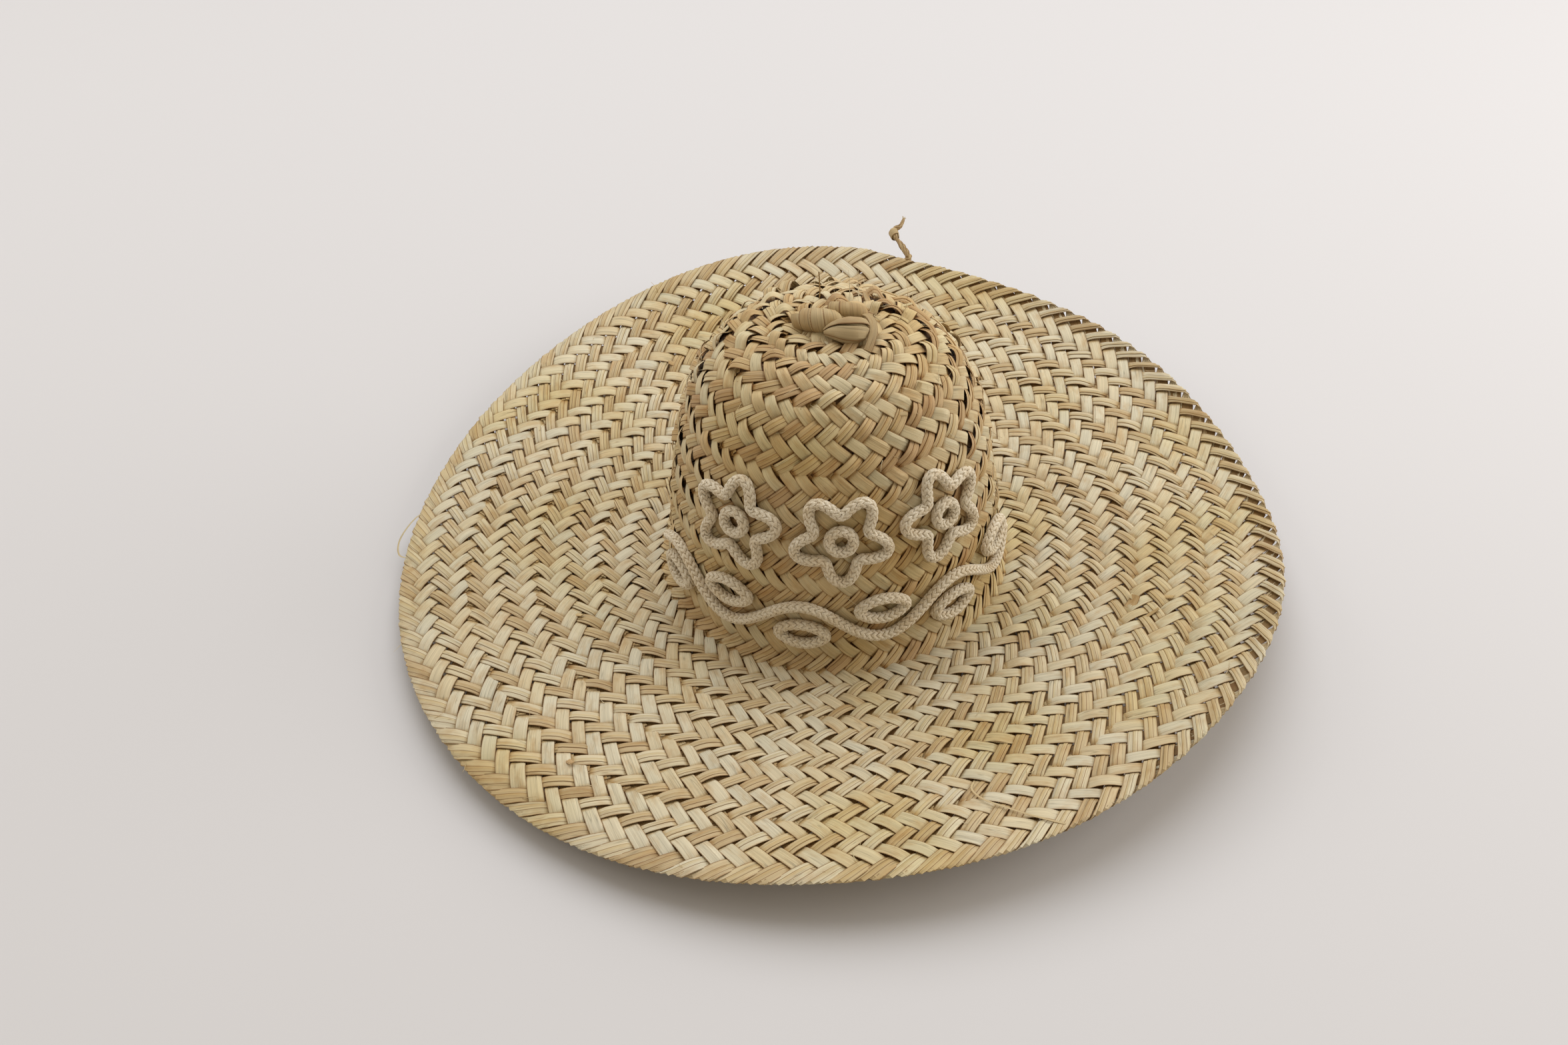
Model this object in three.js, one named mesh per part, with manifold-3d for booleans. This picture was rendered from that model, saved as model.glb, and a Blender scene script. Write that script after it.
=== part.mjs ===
// A wide-brimmed straw hat, crown up, resting on the ring where its crown turns into its brim.
// Millimetres, +Z up, -Y towards the front of the hat, where the sewn cord is.
import * as THREE from 'three';
import { mergeVertices } from 'three/addons/utils/BufferGeometryUtils.js';
import Module from 'manifold-3d';

const wasm = await Module();
wasm.setup();

// Driving dimensions
const WALL = 2.6;
const GAP = 0.3;

// Crown: a dome whose radius narrows evenly and then rounds over to its top
const CROWN_HEIGHT = 164.8;
const CROWN_RADIUS = 98.9;
const CROWN_NARROWING = 12.5;
const CROWN_RISE_POWER = 3.4;
const CROWN_ROUND_POWER = 3.6;
const FLARE = 6;
const FLARE_HEIGHT = 7;
const CROWN_DENT = 1.2;
const CROWN_ROW_POWER = 1.15;

// Brim: its outline and its height above the floor, both going round from +X towards +Y
const RIM_RADIUS = 258;
const RIM_RIPPLES = [
  { turns: 1, cosine: -0.7, sine: -0.9 },
  { turns: 2, cosine: -1.1, sine: 1.2 },
  { turns: 3, cosine: 0.9, sine: -1.9 },
];
const RIM_HEIGHTS = [
  { azimuth: 0, height: 22 },
  { azimuth: 30, height: 28 },
  { azimuth: 60, height: 35 },
  { azimuth: 90, height: 46 },
  { azimuth: 120, height: 36 },
  { azimuth: 150, height: 19 },
  { azimuth: 180, height: 12 },
  { azimuth: 210, height: 13 },
  { azimuth: 240, height: 15 },
  { azimuth: 270, height: 28 },
  { azimuth: 300, height: 34 },
  { azimuth: 330, height: 40 },
];
const SEAT_RADIUS = 112;
const INNER_RISE = 14;
const OUTER_RISE_POWER = 2.2;
const RIM_CURL = 4;
const RIM_CURL_AZIMUTH = 5;
const RIM_CURL_START = 0.88;

// The plait's last turn ends at the back: the outline steps in by most of a strand there
const PLAIT_END_AZIMUTH = 79;
const PLAIT_END_STEP = 7;
const PLAIT_END_SHARE_OUT = 0.65;
const PLAIT_END_FADE = 35;
const PLAIT_END_BLUR = 3;

// Twisted leaf end at the rim, and the knot on the crown
const TAIL_AZIMUTH = 75.5;
const TAIL_GAP = 0.7;
const TAIL_ROUTE = [
  { out: 0, side: 0, up: 0 },
  { out: 8, side: -1.5, up: 3.5 },
  { out: 16, side: 2.5, up: 7 },
  { out: 24, side: 7, up: 10 },
  { out: 31, side: 8, up: 12 },
  { out: 37, side: 3, up: 15 },
];
const TAIL_SECTIONS = [
  { along: 0, radius: 0 },
  { along: 0.01, radius: 2.4 },
  { along: 0.55, radius: 2.2 },
  { along: 0.66, radius: 2.3 },
  { along: 0.76, radius: 4.0 },
  { along: 0.84, radius: 3.6 },
  { along: 0.9, radius: 1.9 },
  { along: 0.99, radius: 2.8 },
  { along: 1, radius: 0 },
];
const ROLL_RADIUS = 5.2;
const ROLL_SWELL_POWER = 0.45;
const KNOT_ROLLS = [
  { x0: -24, y0: -2, xm: -9, ym: 7, x1: 6, y1: 1 },
  { x0: -3, y0: 2, xm: 11, ym: -6, x1: 25, y1: -3 },
];

// Sewn cord on the front of the crown
const CORD_RADIUS = 3.3;
const ROSETTE_HEIGHT = 90;
const ROSETTE_RADIUS = 20;
const ROSETTE_PETALS = 5;
const ROSETTE_PETAL_DEPTH = 0.26;
const ROSETTE_CENTRE_RADIUS = 6.2;
const ROSETTES = [
  { name: 'left', azimuth: -128, turn: 12 },
  { name: 'middle', azimuth: -90, turn: 54 },
  { name: 'right', azimuth: -52, turn: 30 },
];
const VINE_HEIGHT = 36;
const VINE_WAVE = 11;
const VINE_WAVES = 3;
const VINE_AZIMUTH = -90;
const VINE_SPREAD = 156;
const VINE_END_SHARPNESS = 12;
const LEAF_LENGTH = 26;
const LEAF_WIDTH = 13;
const LEAF_DROP = 8;
const LEAF_COUNT = 6;
const LEAF_POINT = 0.45;

// Facets
const BRIM_SIDES = 80;
const BRIM_STEPS = 12;
const CROWN_SIDES = 64;
const CROWN_STEPS = 12;
const CORD_SIDES = 6;

const STRAW = new THREE.MeshStandardMaterial({ color: '#b9a67f', roughness: 0.75, metalness: 0 });
const TWIST = new THREE.MeshStandardMaterial({ color: '#a08a62', roughness: 0.8, metalness: 0 });
const CORD = new THREE.MeshStandardMaterial({ color: '#cfc8ba', roughness: 0.95, metalness: 0 });

const radians = THREE.MathUtils.degToRad;
const hat = new THREE.Group();

function add(name, geometry, material) {
  const mesh = new THREE.Mesh(geometry, material);
  mesh.name = name;
  hat.add(mesh);
  return mesh;
}

// Crown surface: the outer radius at a height, and points on it or off it along its normal
function crownRadius(height, azimuth) {
  const rise = Math.min(height / CROWN_HEIGHT, 1);
  const round = Math.pow(1 - Math.pow(rise, CROWN_RISE_POWER), 1 / CROWN_ROUND_POWER);
  const flare = FLARE * Math.exp(-height / FLARE_HEIGHT);
  const dent = CROWN_DENT * rise * Math.cos(2 * azimuth + 0.6) * round;
  return (CROWN_RADIUS - CROWN_NARROWING * rise) * round + flare + dent;
}

function crownSlope(height, azimuth) {
  const step = 0.5;
  return (crownRadius(height + step, azimuth) - crownRadius(height - step, azimuth)) / (2 * step);
}

function onCrown(azimuth, height, lift) {
  const slope = crownSlope(height, azimuth);
  const scale = lift / Math.hypot(1, slope);
  const radius = crownRadius(height, azimuth) + scale;
  const z = height - slope * scale;
  return new THREE.Vector3(radius * Math.cos(azimuth), radius * Math.sin(azimuth), z);
}

// Brim surface: outline and height by azimuth, and the underside between seat and rim
function rimRadius(azimuth) {
  let radius = RIM_RADIUS;
  for (const ripple of RIM_RIPPLES) {
    radius += ripple.cosine * Math.cos(ripple.turns * azimuth);
    radius += ripple.sine * Math.sin(ripple.turns * azimuth);
  }
  return radius + plaitEndStep(azimuth);
}

function plaitEndStep(azimuth) {
  const away = THREE.MathUtils.euclideanModulo(
    THREE.MathUtils.radToDeg(azimuth) - PLAIT_END_AZIMUTH + 180, 360) - 180;
  const side = (1 + Math.tanh(away / PLAIT_END_BLUR)) / 2;
  const share = side - (1 - PLAIT_END_SHARE_OUT);
  return PLAIT_END_STEP * share * Math.exp(-Math.abs(away) / PLAIT_END_FADE);
}

// A smooth closed wave through the evenly spaced heights, as a sum of sines and cosines
function rimHeight(azimuth) {
  const count = RIM_HEIGHTS.length;
  let height = 0;
  for (let turns = 0; turns <= count / 2; turns++) {
    let cosine = 0;
    let sine = 0;
    for (const row of RIM_HEIGHTS) {
      cosine += row.height * Math.cos(turns * radians(row.azimuth)) / count;
      sine += row.height * Math.sin(turns * radians(row.azimuth)) / count;
    }
    const weight = turns === 0 || turns === count / 2 ? 1 : 2;
    height += weight * (cosine * Math.cos(turns * azimuth) + sine * Math.sin(turns * azimuth));
  }
  return height;
}

function brimUnderside(azimuth, radius) {
  const rim = rimRadius(azimuth);
  const out = Math.max(0, (radius - SEAT_RADIUS) / (rim - SEAT_RADIUS));
  const curl = RIM_CURL * Math.cos(azimuth - radians(RIM_CURL_AZIMUTH));
  const curled = Math.pow(Math.max(0, (out - RIM_CURL_START) / (1 - RIM_CURL_START)), 2);
  const rise = INNER_RISE * (1 - (1 - out) * (1 - out));
  const rest = rimHeight(azimuth) - WALL / 2 - INNER_RISE - curl;
  return rise + rest * Math.pow(out, OUTER_RISE_POWER) + curl * curled;
}

// A round body of changing thickness along a curve, closed at both ends
function roundAlong(curve, radiusAt, sides, steps) {
  const section = [];
  for (let i = 0; i <= steps; i++) {
    section.push(new THREE.Vector2(radiusAt(i / steps), i));
  }
  const geometry = new THREE.LatheGeometry(section, sides);
  const frames = curve.computeFrenetFrames(steps, false);
  const position = geometry.attributes.position;
  const point = new THREE.Vector3();
  for (let v = 0; v < position.count; v++) {
    const i = Math.round(position.getY(v));
    curve.getPointAt(i / steps, point);
    point.addScaledVector(frames.normals[i], position.getX(v));
    point.addScaledVector(frames.binormals[i], -position.getZ(v));
    position.setXYZ(v, point.x, point.y, point.z);
  }
  return geometry;
}

function between(rows, key, value, at) {
  const next = rows.findIndex((row) => row[key] >= at);
  if (next <= 0) {
    return rows[0][value];
  }
  const low = rows[next - 1];
  const high = rows[next];
  return low[value] + (high[value] - low[value]) * (at - low[key]) / (high[key] - low[key]);
}

function toSolid(geometry) {
  const bare = geometry.clone();
  bare.deleteAttribute('normal');
  bare.deleteAttribute('uv');
  const merged = mergeVertices(bare, 1e-3);
  const faces = [];
  const index = merged.index.array;
  for (let i = 0; i < index.length; i += 3) {
    const [a, b, c] = [index[i], index[i + 1], index[i + 2]];
    if (a !== b && b !== c && c !== a) {
      faces.push(a, b, c);
    }
  }
  const vertProperties = new Float32Array(merged.attributes.position.array);
  return new wasm.Manifold(new wasm.Mesh({ numProp: 3, vertProperties, triVerts: new Uint32Array(faces) }));
}

function toGeometry(solid) {
  const mesh = solid.getMesh();
  const geometry = new THREE.BufferGeometry();
  geometry.setAttribute('position', new THREE.BufferAttribute(mesh.vertProperties, 3));
  geometry.setIndex(new THREE.BufferAttribute(mesh.triVerts, 1));
  return geometry;
}

// Crown wall: a hollow dome, revolved as a bare grid and then placed row by row
function crown() {
  const rows = [];
  for (let i = 0; i <= CROWN_STEPS; i++) {
    rows.push({ step: i, lift: 0 });
  }
  for (let i = CROWN_STEPS; i >= 0; i--) {
    rows.push({ step: i, lift: -WALL });
  }
  rows.push(rows[0]);
  const grid = rows.map((row, i) => new THREE.Vector2(row.step === CROWN_STEPS ? 0 : 1, i));
  const geometry = new THREE.LatheGeometry(grid, CROWN_SIDES).rotateX(Math.PI / 2);
  const position = geometry.attributes.position;
  for (let v = 0; v < position.count; v++) {
    const row = rows[Math.round(position.getZ(v))];
    const azimuth = Math.atan2(position.getY(v), position.getX(v));
    const point = crownPoint(azimuth, row.step / CROWN_STEPS, row.lift);
    position.setXYZ(v, point.x, point.y, point.z);
  }
  return geometry;
}

// The wall is cut off flat at the floor and meets in one point at the top
function crownPoint(azimuth, share, lift) {
  if (share === 1) {
    return new THREE.Vector3(0, 0, CROWN_HEIGHT + lift);
  }
  if (share === 0) {
    const radius = crownRadius(0, azimuth) + lift;
    return new THREE.Vector3(radius * Math.cos(azimuth), radius * Math.sin(azimuth), 0);
  }
  const height = CROWN_HEIGHT * Math.pow(Math.sin(share * Math.PI / 2), CROWN_ROW_POWER);
  return onCrown(azimuth, height, lift);
}

// Brim wall: a flat ring, revolved and then given the outline and heights of the brim
function brim() {
  const section = [];
  for (let i = 0; i <= BRIM_STEPS; i++) {
    section.push(new THREE.Vector2(1 + i, 0));
  }
  for (let i = BRIM_STEPS; i >= 0; i--) {
    section.push(new THREE.Vector2(1 + i, 1));
  }
  section.push(section[0]);
  const geometry = new THREE.LatheGeometry(section, BRIM_SIDES).rotateX(Math.PI / 2);
  const inner = CROWN_RADIUS + FLARE + GAP;
  const position = geometry.attributes.position;
  for (let v = 0; v < position.count; v++) {
    const azimuth = Math.atan2(position.getY(v), position.getX(v));
    const step = Math.round(Math.hypot(position.getX(v), position.getY(v)) - 1);
    const radius = inner + (rimRadius(azimuth) - inner) * brimShare(step, azimuth, inner);
    const top = position.getZ(v) > 0.5 ? WALL : 0;
    const z = brimUnderside(azimuth, radius) + top;
    position.setXYZ(v, radius * Math.cos(azimuth), radius * Math.sin(azimuth), z);
  }
  return geometry;
}

// The first step of the brim is its flat seat, and the rest share what is left
function brimShare(step, azimuth, inner) {
  const seat = (SEAT_RADIUS - inner) / (rimRadius(azimuth) - inner);
  return step === 0 ? 0 : seat + (1 - seat) * (step - 1) / (BRIM_STEPS - 1);
}

// Knot on the crown: two short rolls of leaf that lie against each other
function topKnot() {
  const height = CROWN_HEIGHT + GAP + ROLL_RADIUS;
  let knot = null;
  for (const roll of KNOT_ROLLS) {
    const curve = new THREE.CatmullRomCurve3([
      new THREE.Vector3(roll.x0, roll.y0, height),
      new THREE.Vector3(roll.xm, roll.ym, height),
      new THREE.Vector3(roll.x1, roll.y1, height),
    ]);
    const swell = (along) => ROLL_RADIUS * Math.pow(Math.max(0, Math.sin(Math.PI * along)), ROLL_SWELL_POWER);
    const solid = toSolid(roundAlong(curve, swell, 12, 10));
    knot = knot === null ? solid : knot.add(solid);
  }
  return toGeometry(knot);
}

// Leaf end at the rim: a short stiff twist with a knot near its frayed end
function edgeTail() {
  const azimuth = radians(TAIL_AZIMUTH);
  const out = new THREE.Vector3(Math.cos(azimuth), Math.sin(azimuth), 0);
  const side = new THREE.Vector3(-Math.sin(azimuth), Math.cos(azimuth), 0);
  const radius = rimRadius(azimuth) + TAIL_GAP;
  const z = brimUnderside(azimuth, rimRadius(azimuth)) + WALL / 2;
  const route = TAIL_ROUTE.map((row) => new THREE.Vector3(0, 0, z + row.up)
    .addScaledVector(out, radius + row.out).addScaledVector(side, row.side));
  const curve = new THREE.CatmullRomCurve3(route);
  return roundAlong(curve, (along) => between(TAIL_SECTIONS, 'along', 'radius', along), 8, 24);
}

// A closed loop of cord: across and up are measured on the crown from a middle point
function cordLoop(azimuth, height, outline, count) {
  const points = [];
  for (let i = 0; i < count; i++) {
    const { across, up } = outline(2 * Math.PI * i / count);
    const turned = azimuth + across / crownRadius(height, azimuth);
    points.push(onCrown(turned, height + up, CORD_RADIUS + GAP));
  }
  const curve = new THREE.CatmullRomCurve3(points, true);
  return new THREE.TubeGeometry(curve, count, CORD_RADIUS, CORD_SIDES, true);
}

function rosette(row) {
  return cordLoop(radians(row.azimuth), ROSETTE_HEIGHT, (angle) => {
    const petal = Math.cos(ROSETTE_PETALS * (angle - radians(row.turn)));
    const radius = ROSETTE_RADIUS * (1 + ROSETTE_PETAL_DEPTH * petal);
    return { across: radius * Math.cos(angle), up: radius * Math.sin(angle) };
  }, 40);
}

function rosetteCentre(row) {
  return cordLoop(radians(row.azimuth), ROSETTE_HEIGHT, (angle) => ({
    across: ROSETTE_CENTRE_RADIUS * Math.cos(angle),
    up: ROSETTE_CENTRE_RADIUS * Math.sin(angle),
  }), 16);
}

function vine() {
  const points = [];
  const count = 48;
  for (let i = 0; i <= count; i++) {
    const along = i / count;
    const azimuth = radians(VINE_AZIMUTH + VINE_SPREAD * (along - 0.5));
    const height = VINE_HEIGHT + VINE_WAVE * Math.sin(2 * Math.PI * VINE_WAVES * along);
    points.push(onCrown(azimuth, height, CORD_RADIUS + GAP));
  }
  const curve = new THREE.CatmullRomCurve3(points);
  const rounded = (along) => {
    const closing = Math.sqrt(Math.sin(Math.PI * along) * VINE_END_SHARPNESS);
    return CORD_RADIUS * Math.min(1, closing);
  };
  return roundAlong(curve, rounded, CORD_SIDES, 60);
}

function vineLeaf(number) {
  const along = (2 * number + 1) / (2 * LEAF_COUNT);
  const side = number % 2 === 0 ? -1 : 1;
  const azimuth = radians(VINE_AZIMUTH + VINE_SPREAD * (along - 0.5));
  return cordLoop(azimuth, VINE_HEIGHT + side * LEAF_DROP, (angle) => ({
    across: LEAF_LENGTH / 2 * Math.cos(angle),
    up: LEAF_WIDTH / 2 * Math.sin(angle) * (1 - LEAF_POINT + LEAF_POINT * Math.abs(Math.sin(angle))),
  }), 20);
}

add('crown', crown(), STRAW);
add('brim', brim(), STRAW);
add('top_knot', topKnot(), TWIST);
add('edge_tail', edgeTail(), TWIST);
for (const row of ROSETTES) {
  add(`rosette_${row.name}`, rosette(row), CORD);
  add(`rosette_centre_${row.name}`, rosetteCentre(row), CORD);
}
add('vine', vine(), CORD);
for (let number = 0; number < LEAF_COUNT; number++) {
  add(`vine_leaf_${number + 1}`, vineLeaf(number), CORD);
}

// The origin is under the middle of the whole hat's box, on the floor
const box = new THREE.Box3().setFromObject(hat);
const middle = box.getCenter(new THREE.Vector3());
hat.position.set(-middle.x, -middle.y, -box.min.z);
hat.updateMatrixWorld(true);

export default hat;
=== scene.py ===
# %% [markdown]
# # A plaited straw hat
#
# The real hat is made of one long flat plait of palm leaf, sewn to itself in a spiral from the knot on top,
# down the crown and out along the brim. We bring in the plain solid model first. It fixes the size and the
# place of every piece, and each piece below is made in that same frame.

# %% Load the plain model
import math

import bpy
import numpy as np
from mathutils import Matrix, Vector


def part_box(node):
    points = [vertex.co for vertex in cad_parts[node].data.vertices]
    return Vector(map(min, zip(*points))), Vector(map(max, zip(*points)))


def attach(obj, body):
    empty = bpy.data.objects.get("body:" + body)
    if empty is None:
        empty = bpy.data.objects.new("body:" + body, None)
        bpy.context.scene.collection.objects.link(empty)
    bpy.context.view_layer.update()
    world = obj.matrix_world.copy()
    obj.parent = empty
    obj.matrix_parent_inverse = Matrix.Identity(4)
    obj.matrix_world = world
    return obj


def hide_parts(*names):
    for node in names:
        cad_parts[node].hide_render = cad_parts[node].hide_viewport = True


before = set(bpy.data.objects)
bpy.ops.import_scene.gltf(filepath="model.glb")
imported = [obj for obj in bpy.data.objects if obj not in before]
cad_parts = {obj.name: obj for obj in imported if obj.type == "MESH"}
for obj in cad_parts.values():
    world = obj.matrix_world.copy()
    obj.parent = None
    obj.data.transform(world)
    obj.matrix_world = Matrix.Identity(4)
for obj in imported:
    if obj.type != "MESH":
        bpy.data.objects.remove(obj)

MM = 0.001
TURN = 2 * math.pi
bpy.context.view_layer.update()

# %% [markdown]
# ## The shape of the hat
#
# A few sizes describe the whole hat, in millimetres. The crown is a dome that narrows evenly and then
# rounds over. The brim has a radius and a height for each direction, given at twelve places round the rim
# and joined by one smooth wave. We write these as functions, because the leaves of the plait will lie on
# that surface.

# %% Sizes of the hat
WALL = 2.6
GAP = 0.3
CROWN_HEIGHT = 164.8
CROWN_RADIUS = 98.9
CROWN_NARROWING = 12.5
CROWN_RISE_POWER = 3.4
CROWN_ROUND_POWER = 3.6
CROWN_ROW_POWER = 1.15
FLARE = 6.0
FLARE_HEIGHT = 7.0
CROWN_DENT = 1.2
DENT_TURN = 0.6
RIM_RADIUS = 258.0
RIM_RIPPLES = ((1, -0.7, -0.9), (2, -1.1, 1.2), (3, 0.9, -1.9))
RIM_HEIGHTS = (22, 28, 35, 46, 36, 19, 12, 13, 15, 28, 34, 40)
SEAT_RADIUS = 112.0
INNER_RISE = 14.0
OUTER_RISE_POWER = 2.2
RIM_CURL = 4.0
RIM_CURL_AZIMUTH = math.radians(5)
RIM_CURL_START = 0.88
PLAIT_END_AZIMUTH = 79.0
PLAIT_END_STEP = 7.0
PLAIT_END_SHARE_OUT = 0.65
PLAIT_END_FADE = 35.0
PLAIT_END_BLUR = 3.0

low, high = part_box("crown")
AXIS = np.array([(low[0] + high[0]) / 2, (low[1] + high[1]) / 2, 0.0]) / MM
print("the crown stands on", np.round(AXIS, 2).tolist(), "mm")


# %% Crown surface
PROFILE_POINTS = 900


def crown_radius(height, azimuth):
    rise = np.clip(height / CROWN_HEIGHT, 0, 1)
    rounding = (1 - rise**CROWN_RISE_POWER) ** (1 / CROWN_ROUND_POWER)
    flare = FLARE * np.exp(-height / FLARE_HEIGHT)
    dent = CROWN_DENT * rise * np.cos(2 * azimuth + DENT_TURN) * rounding
    return (CROWN_RADIUS - CROWN_NARROWING * rise) * rounding + flare + dent


def crown_profile(inward):
    """Radius, height and run up the undented crown's side, a distance inside its outer surface."""
    angle = np.linspace(0, math.pi / 2, PROFILE_POINTS)
    height = CROWN_HEIGHT * np.sin(angle) ** CROWN_ROW_POWER
    radius = crown_radius(height, np.full_like(height, (math.pi / 2 - DENT_TURN) / 2))
    along_r, along_z = np.gradient(radius), np.gradient(height)
    length = np.hypot(along_r, along_z)
    radius = np.maximum(radius - inward * along_z / length, 0)
    height = height + inward * along_r / length
    keep = height >= inward
    radius, height = radius[keep], height[keep]
    run = np.concatenate([[0], np.cumsum(np.hypot(np.diff(radius), np.diff(height)))])
    return radius, height, run


side_radius, side_height, side_run = crown_profile(WALL / 2)
CROWN_RUN = side_run[-1]
FOOT_RADIUS = side_radius[0]
BRIM_RUN = RIM_RADIUS - FOOT_RADIUS
print(f"the plait runs {CROWN_RUN:.0f} mm up the crown and {BRIM_RUN:.0f} mm out along the brim")


# %% Brim surface
def plait_end_step(azimuth):
    """The rim's small step outward where the spiral ends, in mm."""
    away = (np.degrees(azimuth) - PLAIT_END_AZIMUTH + 180) % 360 - 180
    side = (1 + np.tanh(away / PLAIT_END_BLUR)) / 2
    share = side - (1 - PLAIT_END_SHARE_OUT)
    return PLAIT_END_STEP * share * np.exp(-np.abs(away) / PLAIT_END_FADE)


def rim_radius(azimuth):
    radius = RIM_RADIUS + plait_end_step(azimuth)
    for turns, cosine, sine in RIM_RIPPLES:
        radius = radius + cosine * np.cos(turns * azimuth) + sine * np.sin(turns * azimuth)
    return radius


def rim_height(azimuth):
    waves = np.fft.rfft(RIM_HEIGHTS) / len(RIM_HEIGHTS)
    height = np.zeros_like(azimuth)
    for turns, wave in enumerate(waves):
        weight = 1 if turns in (0, len(waves) - 1) else 2
        angle = turns * azimuth
        height = height + weight * (wave.real * np.cos(angle) - wave.imag * np.sin(angle))
    return height


def brim_underside(azimuth, radius):
    out = np.maximum(0, (radius - SEAT_RADIUS) / (rim_radius(azimuth) - SEAT_RADIUS))
    curl = RIM_CURL * np.cos(azimuth - RIM_CURL_AZIMUTH)
    curled = np.maximum(0, (out - RIM_CURL_START) / (1 - RIM_CURL_START)) ** 2
    rise = INNER_RISE * (1 - (1 - out) ** 2)
    rest = rim_height(azimuth) - WALL / 2 - INNER_RISE - curl
    return rise + rest * out**OUTER_RISE_POWER + curl * curled


quarters = np.radians([0, 90, 180, 270])
print("rim radius at right, back, left and front:", np.round(rim_radius(quarters), 1).tolist(), "mm")


# %% [markdown]
# ## One skin for the whole hat
#
# Every leaf is placed by two numbers: the direction round the hat, and the run along its skin from the foot
# of the crown, negative up the crown and positive out along the brim. The function below turns the two into
# a point in the middle of the wall, with a soft turn where the crown meets the brim, and a second one gives
# the direction that points out of the skin.

# %% Skin of the hat
DENT_FADE = 60.0
TURN_TAPS = ((-8, 1), (-4, 2), (0, 3), (4, 2), (8, 1))
TURN_REACH = 14.0
NEAR_RUN = 0.6
NEAR_TURN = 0.004


def bare_skin(azimuth, run):
    up = np.clip(-run, 0, CROWN_RUN)
    fade = np.clip((CROWN_RUN - up) / DENT_FADE, 0, 1)
    dent = CROWN_DENT * up / CROWN_RUN * np.cos(2 * azimuth + DENT_TURN) * fade
    crown_r = np.interp(up, side_run, side_radius) + dent
    crown_z = np.interp(up, side_run, side_height)
    out = np.maximum(run, 0) / BRIM_RUN
    brim_r = FOOT_RADIUS + (rim_radius(azimuth) - FOOT_RADIUS) * out
    brim_z = brim_underside(azimuth, brim_r) + WALL / 2
    radius = np.where(run < 0, crown_r, brim_r)
    height = np.where(run < 0, crown_z, brim_z)
    return np.stack([radius * np.cos(azimuth), radius * np.sin(azimuth), height], -1)


def skin(azimuth, run):
    near = np.exp(-((run / TURN_REACH) ** 2))
    all_taps = sum(weight for _, weight in TURN_TAPS)
    return sum(weight / all_taps * bare_skin(azimuth, run + shift * near) for shift, weight in TURN_TAPS)


def skin_outward(azimuth, run):
    along = skin(azimuth, run + NEAR_RUN) - skin(azimuth, run - NEAR_RUN)
    across = skin(azimuth + NEAR_TURN, run) - skin(azimuth - NEAR_TURN, run)
    return unit(np.cross(along, across))


def unit(vectors):
    return vectors / np.maximum(np.linalg.norm(vectors, axis=-1, keepdims=True), 1e-9)


rim_heights = skin(quarters, np.full(4, BRIM_RUN))[:, 2]
print("the rim at right, back, left and front is", np.round(rim_heights, 1).tolist(), "mm high")


# %% [markdown]
# ## Turning many small leaves into one mesh
#
# The plait has thousands of short crossings, far too many to model one by one. Each strand of leaf is a
# long thin closed strip: the same small section of leaf, repeated along the strand's path. One function
# joins the strips of a whole band into a single mesh, with a map that follows each leaf and a number for
# each leaf, so that the material can give every leaf its own colour and its veins their true direction.

# %% Mesh from strips
LEAF_VALUES = ("across", "along", "number", "folded", "under")
LEAF_SHADE_ANGLE = 38


def strip_faces(strips, steps, ring):
    """Corner numbers of every quad of closed strips, each steps by ring points, with both ends closed."""
    one = []
    for step in range(steps - 1):
        for corner in range(ring):
            after = (corner + 1) % ring
            base = step * ring
            one.append((base + corner, base + after, base + ring + after, base + ring + corner))
    last = (steps - 1) * ring
    for k in range(ring // 2 - 1):
        one.append((k, ring - 1 - k, ring - 2 - k, k + 1))
        one.append((last + k + 1, last + ring - 2 - k, last + ring - 1 - k, last + k))
    starts = np.arange(strips)[:, None, None] * steps * ring
    return (np.array(one)[None] + starts).reshape(-1, 4)


def new_piece(name, points, faces, shade_angle):
    """A mesh of points in mm, shaded smooth apart from edges that are sharper than an angle in degrees."""
    mesh = bpy.data.meshes.new(name)
    mesh.from_pydata(((points + AXIS) * MM).tolist(), [], faces.tolist())
    mesh.validate()
    piece = bpy.data.objects.new(name, mesh)
    bpy.context.collection.objects.link(piece)
    bpy.ops.object.select_all(action="DESELECT")
    piece.select_set(True)
    bpy.context.view_layer.objects.active = piece
    bpy.ops.object.shade_smooth_by_angle(angle=math.radians(shade_angle))
    piece.select_set(False)
    return piece


def mesh_from_strips(name, groups):
    """Joins groups of strips. A group has its point, (strips, steps, ring, 3), and a value of each kind."""
    faces, start = [], 0
    for group in groups:
        shape = group["point"].shape[:3]
        faces.append(strip_faces(*shape) + start)
        start += math.prod(shape)
    faces = np.concatenate(faces)
    points = np.concatenate([group["point"].reshape(-1, 3) for group in groups])
    piece = new_piece(name, points, faces, LEAF_SHADE_ANGLE)
    values = {}
    for label in LEAF_VALUES:
        spread_out = [np.broadcast_to(group[label], group["point"].shape[:3]).ravel() for group in groups]
        values[label] = np.concatenate(spread_out).astype(np.float32)
    leaf_map = np.stack([values["across"], values["along"]], -1)[faces.ravel()]
    piece.data.uv_layers.new(name="leaf_map").data.foreach_set("uv", leaf_map.ravel())
    for label in ("number", "folded", "under"):
        attribute = piece.data.attributes.new("leaf_" + label, "FLOAT", "POINT")
        attribute.data.foreach_set("value", values[label])
    print(f"{name}: {2 * len(faces)} triangles")
    return piece


print("a strip of 10 steps of an eight-sided section has", len(strip_faces(1, 10, 8)), "quads")


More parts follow.
